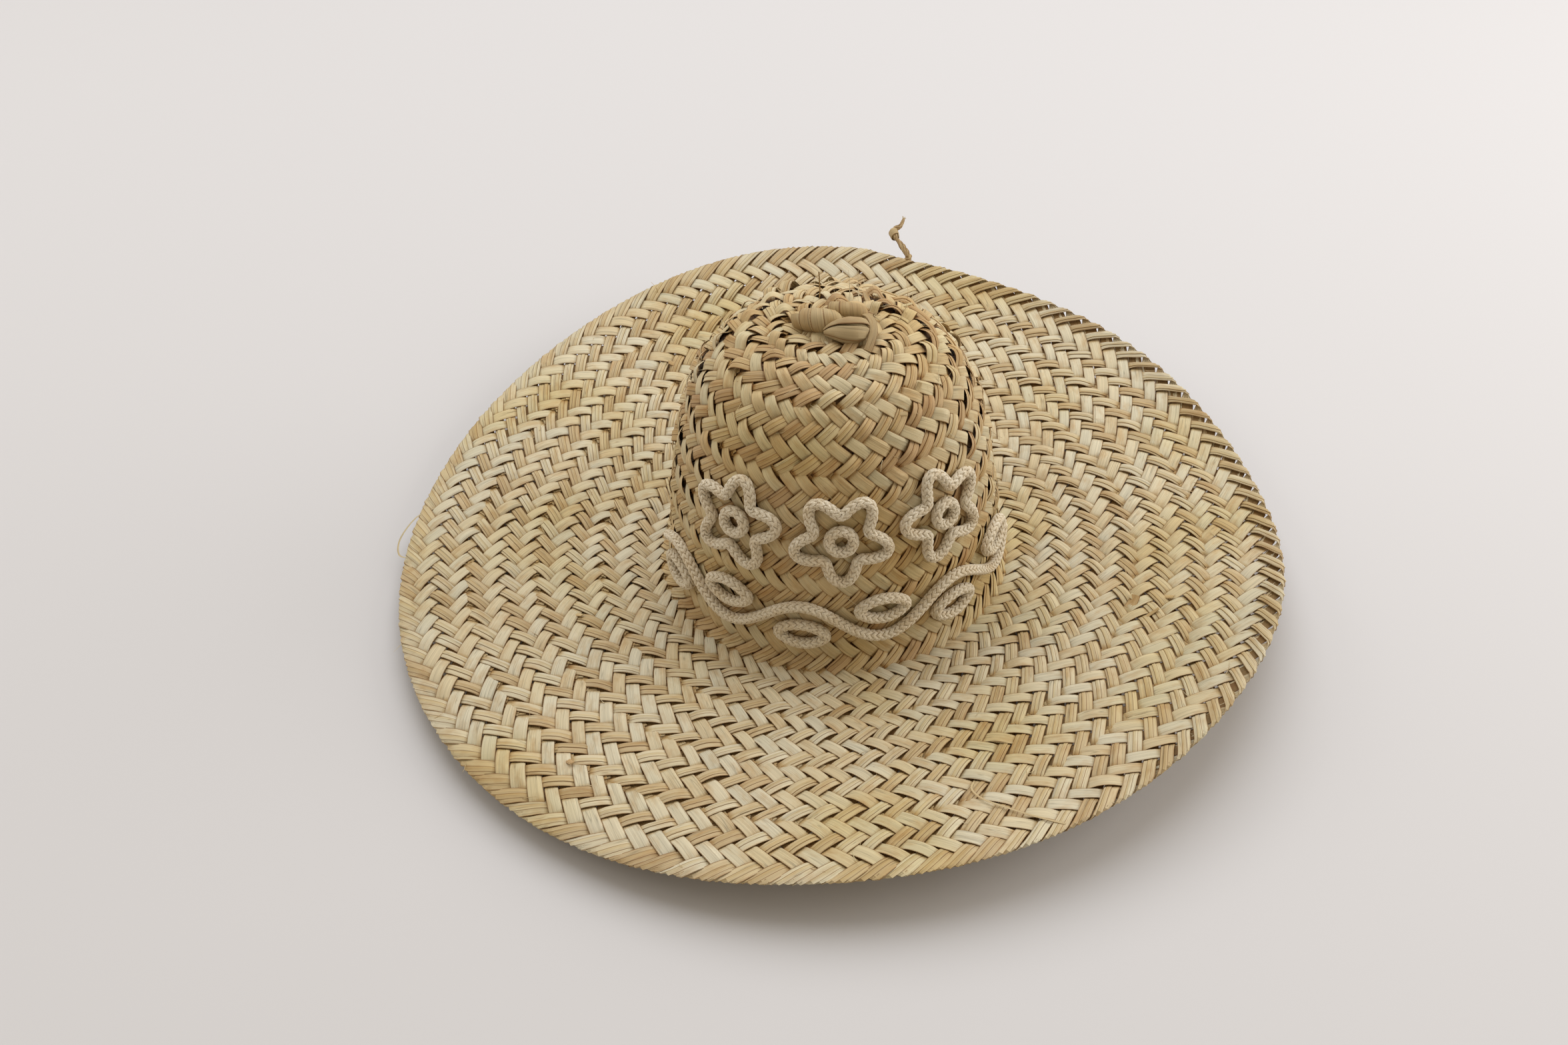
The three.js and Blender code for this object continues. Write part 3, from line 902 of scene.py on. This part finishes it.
def stitches_along(line, outward, closed):
    """The points of every leg of the stitches of a cord, (legs, points of a leg, 3)."""
    length = run_along(line)
    rows = int(length[-1] / STITCH_PITCH)
    stitch, column, leg = np.meshgrid(np.arange(rows), np.arange(STITCH_COLUMNS), (-1, 1), indexing="ij")
    stitch, column, leg = [part.reshape(-1, 1) for part in (stitch, column, leg)]
    x, y, z = leg_points.T
    x = x * (1 + random.uniform(-LEG_STRETCH, LEG_STRETCH, stitch.shape))
    tilt = leg * LEG_TILT
    place = (stitch + 0.5 + COLUMN_STEP * column) * (length[-1] / rows) + x * np.cos(tilt) - y * np.sin(tilt)
    aside = leg * LEG_ASIDE + x * np.sin(tilt) + y * np.cos(tilt)
    angle = TURN * (column + 0.5) / STITCH_COLUMNS + aside / STITCH_RING
    reach = STITCH_RING + z + random.uniform(-LEG_RISE, LEG_RISE, stitch.shape)
    if closed:
        place = place % length[-1]
    else:
        place = np.clip(place, 0, length[-1])
        to_end = np.minimum(place, length[-1] - place)
        reach = reach * np.sqrt(np.clip(to_end / ROUND_END, 0.02, 1))
    centre, out, side = [between(place, length, part) for part in (line, *line_frame(line, outward))]
    return centre + reach[..., None] * turned(angle, out, side)


def knitted_cord(name, node, line, outward, closed):
    legs = stitches_along(line, outward, closed)
    starts = (np.arange(len(legs)) * len(leg_points))[:, None, None]
    thin = 2 if closed else 1
    core = round_strand(line[::thin], outward[::thin], CORE_RADIUS, CORE_SIDES)["point"]
    core_faces = strip_faces(1, core.shape[1], CORE_SIDES)
    core_corners = np.concatenate([core_faces[:, [0, 1, 2]], core_faces[:, [0, 2, 3]]])
    points = np.concatenate([legs.reshape(-1, 3), core.reshape(-1, 3)])
    corners = (leg_corners[None] + starts).reshape(-1, 3)
    corners = np.concatenate([corners, core_corners + legs[..., 0].size])
    print(f"{name}: {line_length(line):.0f} mm of cord, {len(corners)} triangles")
    return finish_piece(new_piece(name, points, corners, CORD_SHADE_ANGLE), node)


def on_crown(azimuth, height, lift):
    """A point a distance outside the plain crown, and the direction out of it."""
    slope = crown_radius(height + 0.5, azimuth) - crown_radius(height - 0.5, azimuth)
    size = np.hypot(1, slope)
    radius = crown_radius(height, azimuth) + lift / size
    point = np.stack([radius * np.cos(azimuth), radius * np.sin(azimuth), height - lift * slope / size], -1)
    out = np.stack([np.cos(azimuth) / size, np.sin(azimuth) / size, -slope / size], -1)
    return point, out


# %% [markdown]
# The lines of cord have the sizes of the plain model: three flowers of five petals, each with a ring in its
# middle, and below them a wavy vine with leaves on both sides. They are a plain design of our own.

# %% Flowers, vine and leaves of cord
CORD_LIFT = CORD_RADIUS + GAP
ROSETTE_HEIGHT = 90.0
ROSETTE_RADIUS = 20.0
ROSETTE_PETALS = 5
ROSETTE_PETAL_DEPTH = 0.26
ROSETTE_CENTRE_RADIUS = 6.2
ROSETTES = (("left", -128, 12), ("middle", -90, 54), ("right", -52, 30))
VINE_HEIGHT = 36.0
VINE_WAVE = 11.0
VINE_WAVES = 3
VINE_AZIMUTH = -90.0
VINE_SPREAD = 156.0
LEAF_LENGTH = 26.0
LEAF_DEPTH = 13.0
LEAF_DROP = 8.0
LEAF_COUNT = 6
LEAF_POINT = 0.45
loop = np.linspace(0, TURN, 97)


def cord_loop(name, node, azimuth, height, across, up):
    turned_azimuth = azimuth + across * np.cos(loop) / crown_radius(np.array(height), azimuth)
    line, out = on_crown(turned_azimuth, height + up * np.sin(loop), CORD_LIFT)
    return knitted_cord(name, node, line, out, True)


def vine_azimuth(share):
    return np.radians(VINE_AZIMUTH + VINE_SPREAD * (share - 0.5))


cords = []
for side, azimuth, turn in ROSETTES:
    petal = np.cos(ROSETTE_PETALS * (loop - math.radians(turn)))
    reach = ROSETTE_RADIUS * (1 + ROSETTE_PETAL_DEPTH * petal)
    kinds = (("flower", "rosette", reach), ("ring", "rosette_centre", ROSETTE_CENTRE_RADIUS))
    for kind, node, size in kinds:
        cords.append(cord_loop(f"knitted_{kind}_{side}", f"{node}_{side}", math.radians(azimuth),
                               ROSETTE_HEIGHT, size, size))
for number in range(LEAF_COUNT):
    height = VINE_HEIGHT + (LEAF_DROP if number % 2 else -LEAF_DROP)
    depth = LEAF_DEPTH / 2 * (1 - LEAF_POINT + LEAF_POINT * np.abs(np.sin(loop)))
    azimuth = vine_azimuth((2 * number + 1) / (2 * LEAF_COUNT))
    cords.append(cord_loop(f"knitted_leaf_{number + 1}", f"vine_leaf_{number + 1}", azimuth, height,
                           LEAF_LENGTH / 2, depth))
share = np.linspace(0, 1, 200)
vine_height = VINE_HEIGHT + VINE_WAVE * np.sin(TURN * VINE_WAVES * share)
vine_line, vine_out = on_crown(vine_azimuth(share), vine_height, CORD_LIFT)
cords.append(knitted_cord("knitted_vine", "vine", vine_line, vine_out, False))

# %% [markdown]
# ## Loose fibres
#
# Palm leaf splits and sheds thin fibres. Most are short and stand up a little from the crown. They are thin
# strips that start in the surface and curl away from it, in places picked by a seeded random generator, so
# that they are the same on each run. A few longer ones and some broken leaf ends are placed one by one.

# %% Shapes of loose fibres
THIN_LEAF = np.array([(-1, 0), (0, 0.45), (1, 0), (0, -0.25)])
FIBRE_ROOT = 0.9
FIBRE_TIP = 0.3
STUB_TIP = 0.8


def on_skin(azimuth, run, heading):
    """A place on the skin, the direction out of it there, and the one at a heading along it."""
    at, where = np.array([azimuth]), np.array([run])
    root, out = skin(at, where)[0], skin_outward(at, where)[0]
    round_hat = unit(np.array([-math.sin(azimuth), math.cos(azimuth), 0.0]))
    return root, out, math.cos(heading) * round_hat + math.sin(heading) * np.cross(round_hat, out)


def fibre(azimuth, run, heading, length, rise, curl, half):
    """A fibre from a place on the skin. Rise is how steep it gets, and curl how far aside it goes."""
    root, out, flat = on_skin(azimuth, run, heading)
    aside = np.cross(out, flat)
    share = np.linspace(0, 1, 7)[:, None]
    height = FIBRE_ROOT + length * rise * share**1.5
    line = root + out * height + flat * length * share + aside * curl * share**2
    return laid_leaf(line, out, np.linspace(half, FIBRE_TIP * half, 7), THIN_LEAF)


def leaf_stub(azimuth, run, heading, length, half):
    """A cut or broken end of a leaf that sticks up out of the plait."""
    root, out, flat = on_skin(math.radians(azimuth), run, heading)
    share = np.linspace(0, 1, 6)[:, None]
    line = root + flat * length * share + out * (0.2 + 1.8 * share + 1.4 * share**2)
    return laid_leaf(line, out, np.linspace(half, STUB_TIP * half, 6))


def lone_leaf(rows, half):
    """A thin loose leaf through rows of azimuth in degrees, run and lift above the skin, in mm."""
    azimuth, run, lift = np.array(rows, dtype=float).T
    azimuth = np.radians(azimuth)
    points = skin(azimuth, run) + skin_outward(azimuth, run) * lift[:, None]
    return laid_leaf(smooth_line(points, 5 * len(rows)), UP, half, THIN_LEAF)


print("a loose fibre's section has", len(THIN_LEAF), "points")

# %% [markdown]
# The stray leaf is the split strand that lies over the brim near the front. Each broken end is a row of its
# azimuth in degrees, run, heading, length and half width. The seeded fibres come in three lots: long ones
# round the top, short ones down the crown and flat ones on the brim.

# %% Loose fibres and broken ends
LONE_LEAVES = (
    (((-72.5, 103, 0), (-74, 111, 2.5), (-73.5, 120, 2.8), (-71.5, 130, 2.6), (-69.5, 141, 2.6),
      (-67, 154, 1.5)), 0.55),
    (((172, 147, 0.5), (173.5, 157, 1.5), (177, 163, 2), (180.5, 160, 1.5), (182, 149, 0.5)), 0.5),
    (((100, -192, 0), (100, -194, 6), (101, -196, 13), (102, -197, 20)), 0.4),
    (((116, 148, 0), (116, 151, 4), (116.5, 153, 9)), 0.4),
)
STUBS = (
    (-25, 78, 0.3, 8, 3.4), (-23, 84, -1.4, 7, 2.6), (-21, 95, 2.2, 7, 2.2), (-27, 88, 0.9, 9, 1.4),
    (-46, -156, -0.8, 6, 1.6), (-61, -152, 0.5, 5, 1.3), (-92, -36, 0.6, 9, 2.2), (-89, -40, -0.9, 7, 1.2),
    (-142, -56, 2.5, 6, 1.5), (-76, -184, 1.0, 4, 1.4), (40, -190, 0.4, 9, 1.8), (52, -182, -0.6, 10, 1.2),
    (30, -176, 1.9, 8, 1.5), (120, 90, 0.5, 7, 2.0), (200, 60, -0.5, 7, 1.8), (228, 118, 0.2, 8, 2.0),
)


def near_top():
    azimuth = math.radians(random.normal(55, 45))
    return azimuth, random.uniform(-CROWN_RUN + 18, -CROWN_RUN + 75)


def down_crown():
    run = random.uniform(-CROWN_RUN + 12, -20)
    return random.uniform(0, TURN), run


def over_brim():
    run = BRIM_RUN * math.sqrt(random.uniform(0.02, 1))
    return random.uniform(0, TURN), run


FIBRES = (
    {"count": 45, "place": near_top, "length": (6, 17), "rise": (0.3, 1.0), "curl": 5, "half": 0.3},
    {"count": 110, "place": down_crown, "length": (4, 13), "rise": (0.15, 0.9), "curl": 4, "half": 0.22},
    {"count": 120, "place": over_brim, "length": (4, 14), "rise": (0.05, 0.3), "curl": 3, "half": 0.22},
)
fibres = [lone_leaf(rows, half) for rows, half in LONE_LEAVES]
fibres += [leaf_stub(*row) for row in STUBS]
for row in FIBRES:
    for _ in range(row["count"]):
        azimuth, run = row["place"]()
        heading, length = random.uniform(0, TURN), random.uniform(*row["length"])
        rise, curl = random.uniform(*row["rise"]), random.uniform(-row["curl"], row["curl"])
        fibres.append(fibre(azimuth, run, heading, length, rise, curl, row["half"]))
loose_fibres = finish_piece(mesh_from_strips("loose_fibres", fibres), None)

# %% [markdown]
# ## Materials
#
# Colours are written as the hex values a painter would pick on screen and turned to the linear values that
# the renderer wants. One small helper adds a node and sets its inputs, each to a number, a colour, or the
# output of another node.

# %% Colour and node helpers
MIX_FACTOR, MIX_FIRST, MIX_SECOND, MIX_RESULT = 0, 6, 7, 2


def linear(hex_colour):
    values = [int(hex_colour[i : i + 2], 16) / 255 for i in (1, 3, 5)]
    return tuple(v / 12.92 if v <= 0.04045 else ((v + 0.055) / 1.055) ** 2.4 for v in values) + (1.0,)


def new_material(name):
    material = bpy.data.materials.new(name)
    material.use_nodes = True
    return material, material.node_tree


def set_inputs(node, inputs):
    """Sets sockets to numbers or hex colours, or links them from (node, output) pairs."""
    for key, value in inputs.items():
        if isinstance(value, tuple) and isinstance(value[0], bpy.types.Node):
            node.id_data.links.new(value[0].outputs[value[1]], node.inputs[key])
        else:
            node.inputs[key].default_value = linear(value) if isinstance(value, str) else value


def add_node(tree, kind, inputs, settings=None):
    node = tree.nodes.new(kind)
    for key, value in (settings or {}).items():
        setattr(node, key, value)
    set_inputs(node, inputs)
    return node


def multiply(tree, first, second, factor=1.0):
    """Multiplies a colour by a second one, as much as the factor says."""
    node = add_node(tree, "ShaderNodeMix", {}, {"data_type": "RGBA", "blend_type": "MULTIPLY"})
    set_inputs(node, {MIX_FACTOR: factor, MIX_FIRST: first, MIX_SECOND: second})
    return (node, MIX_RESULT)


def ramp(tree, value, stops):
    node = add_node(tree, "ShaderNodeValToRGB", {"Fac": value})
    elements = node.color_ramp.elements
    elements.remove(elements[-1])
    elements[0].position = stops[0][0]
    elements[0].color = linear(stops[0][1])
    for place, colour in stops[1:]:
        elements.new(place).color = linear(colour)
    return (node, "Color")


def spread(tree, value, from_low, from_high, to_low, to_high):
    """Stretches the values from one range to another, and holds them within it."""
    inputs = {"Value": value, "From Min": from_low, "From Max": from_high}
    inputs |= {"To Min": to_low, "To Max": to_high}
    return (add_node(tree, "ShaderNodeMapRange", inputs), 0)


def arithmetic(tree, operation, first, second=0.5):
    return (add_node(tree, "ShaderNodeMath", {0: first, 1: second}, {"operation": operation}), 0)


def noise(tree, vector, scale, detail, roughness=0.5):
    inputs = {"Vector": vector, "Scale": scale, "Detail": detail, "Roughness": roughness}
    return (add_node(tree, "ShaderNodeTexNoise", inputs), "Fac")


def object_place(tree):
    return (add_node(tree, "ShaderNodeTexCoord", {}), "Object")


print("the middle grey #808080 is", round(linear("#808080")[0], 3), "in linear light")


# %% [markdown]
# The leaf is dried palm, matt, with a colour of its own for every leaf, from grey-beige to tan. Leaves of
# one batch lie near each other and share a tint, and each leaf has browner stretches a centimetre or two
# long. The noise for those is stretched along the leaf on its own map, so it follows each leaf round the
# hat.

# %% Colour of the leaves
BATCH_SIZE = 70.0
NUMBER_TO_SEED = 91.7
BATCH_TINT = "#F0E6B8"
AGED_TINT = "#DFC29A"


def leaf_value(tree, label):
    return (add_node(tree, "ShaderNodeAttribute", {}, {"attribute_name": "leaf_" + label}), "Fac")


def leaf_place(tree):
    """The leaf's map, and the same with a third number that differs from leaf to leaf."""
    leaf_map = add_node(tree, "ShaderNodeUVMap", {}, {"uv_map": "leaf_map"})
    split = add_node(tree, "ShaderNodeSeparateXYZ", {"Vector": (leaf_map, "UV")})
    seed = arithmetic(tree, "MULTIPLY", leaf_value(tree, "number"), NUMBER_TO_SEED)
    place = add_node(tree, "ShaderNodeCombineXYZ", {"X": (split, "X"), "Y": (split, "Y"), "Z": seed})
    return (split, "X"), (place, 0)


def stretched_noise(tree, place, across, along, detail):
    at = add_node(tree, "ShaderNodeMapping", {"Scale": (across, along, 1.0), "Vector": place})
    return noise(tree, (at, 0), 1.0, detail, 0.6)


def leaf_colour(tree, place, colours):
    base = ramp(tree, leaf_value(tree, "number"), colours)
    batch = noise(tree, object_place(tree), 1000 / BATCH_SIZE, 1.0)
    tinted = multiply(tree, base, BATCH_TINT, spread(tree, batch, 0.48, 0.75, 0.0, 0.6))
    patch = stretched_noise(tree, place, 1.3, 0.6, 3.0)
    return multiply(tree, tinted, AGED_TINT, spread(tree, patch, 0.48, 0.72, 0.0, 0.6))


# %% [markdown]
# The veins are fine and straight, half a millimetre apart, with a few thin dark ones where a slow noise
# crosses its middle value. A leaf's edges have gone brown, and a folded leaf shows the dark edges of its
# layers as two more lines. Where a leaf dives under the others it is painted darker and browner: painted
# shade in the hollows of the plait.

# %% Veins, edges and painted shade under the leaves
LEAF_WIDTH = 7.8
VEIN_SPACING = 0.5
DARK_VEIN_SPACING = 2.6
CLEAR = "#FFFFFF"
BROWN_EDGE = "#A5804F"
BROWN_FOLD = "#9C7C54"
PALE_LAYER = "#F2EAD8"


def veined(tree, colour, place, vein):
    colour = multiply(tree, colour, spread(tree, vein, 0.33, 0.68, 0.86, 1.06))
    slow = stretched_noise(tree, place, LEAF_WIDTH / DARK_VEIN_SPACING, 0.12, 1.0)
    near = arithmetic(tree, "ABSOLUTE", arithmetic(tree, "SUBTRACT", slow, 0.5))
    return multiply(tree, colour, spread(tree, near, 0.0, 0.018, 0.7, 1.0))


def edged(tree, colour, across):
    edges = ramp(tree, across, ((0.0, BROWN_EDGE), (0.07, CLEAR), (0.93, CLEAR), (1.0, BROWN_EDGE)))
    left, right = FOLD_LINES
    folds = ramp(tree, across, (
        (left - 0.03, CLEAR), (left - 0.008, BROWN_FOLD), (left + 0.025, PALE_LAYER),
        (right - 0.02, CLEAR), (right + 0.008, BROWN_FOLD), (right + 0.035, CLEAR)))
    return multiply(tree, multiply(tree, colour, edges), folds, leaf_value(tree, "folded"))


# Painted shade: a leaf is made darker and browner the deeper it lies under the others
def shade_where_under(tree, colour, under_shade_colours):
    stops = ((0.25, CLEAR), (0.6, under_shade_colours[0]), (0.95, under_shade_colours[1]))
    return multiply(tree, colour, ramp(tree, leaf_value(tree, "under"), stops))


# %% [markdown]
# The parts now make one material. The leaf has a faint gloss on its smooth face, and the veins roughen it
# and stand up a little. The brim's leaves are paler and greyer than the crown's, partly a real difference
# and partly painted light, as the brim is more brightly lit; the crown's browner, more saturated leaves are
# partly painted shade. The knot and the twisted end are darker, as handled leaf is.

# %% Dried palm leaf
VEIN_DEPTH = 0.3
# Paler, greyer brim colours are partly painted light; browner, more saturated crown colours partly painted
# shade
BRIM_COLOURS = ((0.0, "#C7BEA5"), (0.25, "#CEC3A8"), (0.5, "#CDBE9D"), (0.75, "#C7B48F"), (1.0, "#BBA47D"))
CROWN_COLOURS = ((0.0, "#CEC1A0"), (0.25, "#D2C19B"), (0.5, "#CFB98F"), (0.75, "#C8AE82"), (1.0, "#B89970"))
KNOT_COLOURS = ((0.0, "#C2B28D"), (0.5, "#B7A17A"), (1.0, "#A1875F"))
TWIST_COLOURS = ((0.0, "#CAB890"), (0.5, "#C0A97F"), (1.0, "#AB8F65"))
# Colours of the painted shade where leaves dive under the others, darker on the crown
BRIM_UNDER_SHADE = ("#E4D3B6", "#A88C64")
CROWN_UNDER_SHADE = ("#CDB48B", "#755B3B")


def set_surface(tree, inputs):
    set_inputs(tree.nodes["Principled BSDF"], inputs)


def bump(tree, strength, distance, height):
    inputs = {"Strength": strength, "Distance": distance, "Height": height}
    return (add_node(tree, "ShaderNodeBump", inputs), "Normal")


def palm_leaf(name, colours, under_shade_colours):
    material, tree = new_material(name)
    across, place = leaf_place(tree)
    vein = stretched_noise(tree, place, LEAF_WIDTH / VEIN_SPACING, 0.3, 2.0)
    colour = veined(tree, leaf_colour(tree, place, colours), place, vein)
    colour = shade_where_under(tree, edged(tree, colour, across), under_shade_colours)
    set_surface(tree, {
        "Base Color": colour,
        "Roughness": spread(tree, vein, 0.0, 1.0, 0.48, 0.8),
        "Specular IOR Level": 0.3,
        "Normal": bump(tree, 0.7, VEIN_DEPTH * MM, vein),
    })
    return material


# The brim's pale copy of the leaf is partly painted light, the crown's browner copy partly painted shade
brim_palm = palm_leaf("dried_palm_leaf_bleached", BRIM_COLOURS, BRIM_UNDER_SHADE)
crown_palm = palm_leaf("dried_palm_leaf", CROWN_COLOURS, CROWN_UNDER_SHADE)
for name, piece in woven.items():
    piece.data.materials.append(brim_palm if name.startswith("brim") else crown_palm)
loose_fibres.data.materials.append(crown_palm)
knot.data.materials.append(palm_leaf("knotted_palm_leaf", KNOT_COLOURS, CROWN_UNDER_SHADE))
twisted_end.data.materials.append(palm_leaf("twisted_palm_leaf", TWIST_COLOURS, CROWN_UNDER_SHADE))
print("pieces painted:", len(woven) + 3)


# %% [markdown]
# The cord is undyed cotton yarn: quite white, with painted shade, darker and warmer, in its hollows, and
# soft fibres that catch light at grazing angles, which is what sheen is for. Its bump is the twist of the
# yarn and its fluff.

# %% Undyed cotton cord
YARN_TWIST_SPACING = 0.9
YARN_DEPTH = 0.35
SOIL_SIZE = 9.0
SOIL_TINT = "#EFE2CC"
# The fluff noise also makes the bump, so this ramp paints shade, darker and warmer, into the bump's hollows
COTTON_COLOURS = ((0.3, "#C4B292"), (0.55, "#E6DAC4"), (0.75, "#F2EADA"))


def cotton_cord():
    material, tree = new_material("undyed_cotton_knit")
    fluff = noise(tree, object_place(tree), 1000 / YARN_TWIST_SPACING, 4.0, 0.7)
    soil = noise(tree, object_place(tree), 1000 / SOIL_SIZE, 2.0)
    shade = ramp(tree, fluff, COTTON_COLOURS)
    set_surface(tree, {
        "Base Color": multiply(tree, shade, SOIL_TINT, spread(tree, soil, 0.45, 0.8, 0.0, 0.7)),
        "Roughness": 0.95,
        "Specular IOR Level": 0.1,
        "Sheen Weight": 0.25,
        "Normal": bump(tree, 0.8, YARN_DEPTH * MM, fluff),
    })
    return material


cotton = cotton_cord()
for piece in cords:
    piece.data.materials.append(cotton)
print("cords painted:", len(cords))

# %% [markdown]
# ## Floor and light
#
# The photograph has the soft light of a large window behind and above the hat, and pale walls that throw
# some of it back from both sides. The pale floor stands in for the wall that the photographed hat hangs on.
# Round area lights and a faint warm sky do the same here, because they give shadows with such soft edges.

# %% Floor and lights
LIGHTS = (
    ("window", (0.1, 1.2, 2.2), (0, 0, 0.05), 2.8, 51, "#F3F8FF"),
    ("left_wall", (-1.8, 0.5, 1.2), (0, 0, 0.1), 1.4, 8, "#FFFFFF"),
    ("right_wall", (1.8, 0.1, 0.8), (0, 0, 0.1), 1.4, 19, "#FFFFFF"),
)
FLOOR_COLOUR = "#CDCACA"
FLOOR_SIZE = 12
FLOOR_GAP = 0.0005
SKY_COLOUR = "#FFF4E0"
SKY_STRENGTH = 0.47


def floor():
    bpy.ops.mesh.primitive_plane_add(size=FLOOR_SIZE, location=(0, 0, -FLOOR_GAP))
    plane = bpy.context.active_object
    plane.name = "floor"
    material, tree = new_material("pale_floor")
    set_surface(tree, {"Base Color": FLOOR_COLOUR, "Roughness": 0.9, "Specular IOR Level": 0.1})
    plane.data.materials.append(material)


def soft_light(name, place, aim, size, watts, colour):
    light = bpy.data.lights.new(name, "AREA")
    light.shape = "DISK"
    light.size = size
    light.energy = watts
    light.color = linear(colour)[:3]
    lamp = bpy.data.objects.new(name, light)
    lamp.location = place
    lamp.rotation_euler = (Vector(aim) - Vector(place)).to_track_quat("-Z", "Y").to_euler()
    bpy.context.collection.objects.link(lamp)


floor()
for row in LIGHTS:
    soft_light(*row)
sky = bpy.data.worlds.new("pale_room")
sky.use_nodes = True
set_inputs(sky.node_tree.nodes["Background"], {"Color": SKY_COLOUR, "Strength": SKY_STRENGTH})
bpy.context.scene.world = sky
bpy.context.scene.view_settings.view_transform = "Standard"
print("lights:", ", ".join(row[0] for row in LIGHTS))

# %% [markdown]
# ## Camera
#
# The camera has the photograph's view of the hat: 42.5 degrees above its brim, tipped 2.5 degrees to one
# side, 951 mm from a point near its middle. The lens comes from the photograph's width and focal length in
# pixels.

# %% Camera
CAMERA_TILT = math.radians(42.5)
CAMERA_ROLL = math.radians(-2.5)
CAMERA_DISTANCE = 951.1
CAMERA_AIM = (-29.6, 24.5, 0)
PHOTO_WIDTH_PX = 2352
PHOTO_FOCAL_PX = 2299.6
SENSOR_WIDTH = 36


def photo_camera():
    back = Vector((0, -math.cos(CAMERA_TILT), math.sin(CAMERA_TILT)))
    up = Vector((0, math.sin(CAMERA_TILT), math.cos(CAMERA_TILT)))
    right = Vector((1, 0, 0))
    rolled_up = math.cos(CAMERA_ROLL) * up - math.sin(CAMERA_ROLL) * right
    rolled_right = math.cos(CAMERA_ROLL) * right + math.sin(CAMERA_ROLL) * up
    place = (Vector(AXIS) + Vector(CAMERA_AIM)) * MM + back * CAMERA_DISTANCE * MM
    turn = Matrix((rolled_right, rolled_up, back)).transposed().to_4x4()
    camera = bpy.data.cameras.new("photo_camera")
    camera.sensor_fit = "HORIZONTAL"
    camera.sensor_width = SENSOR_WIDTH
    camera.lens = SENSOR_WIDTH * PHOTO_FOCAL_PX / PHOTO_WIDTH_PX
    camera.clip_start = 0.01
    view = bpy.data.objects.new("photo_camera", camera)
    view.matrix_world = Matrix.Translation(place) @ turn
    bpy.context.collection.objects.link(view)
    bpy.context.scene.camera = view
    return camera


print("the camera's lens is", round(photo_camera().lens, 1), "mm on a 36 mm sensor")
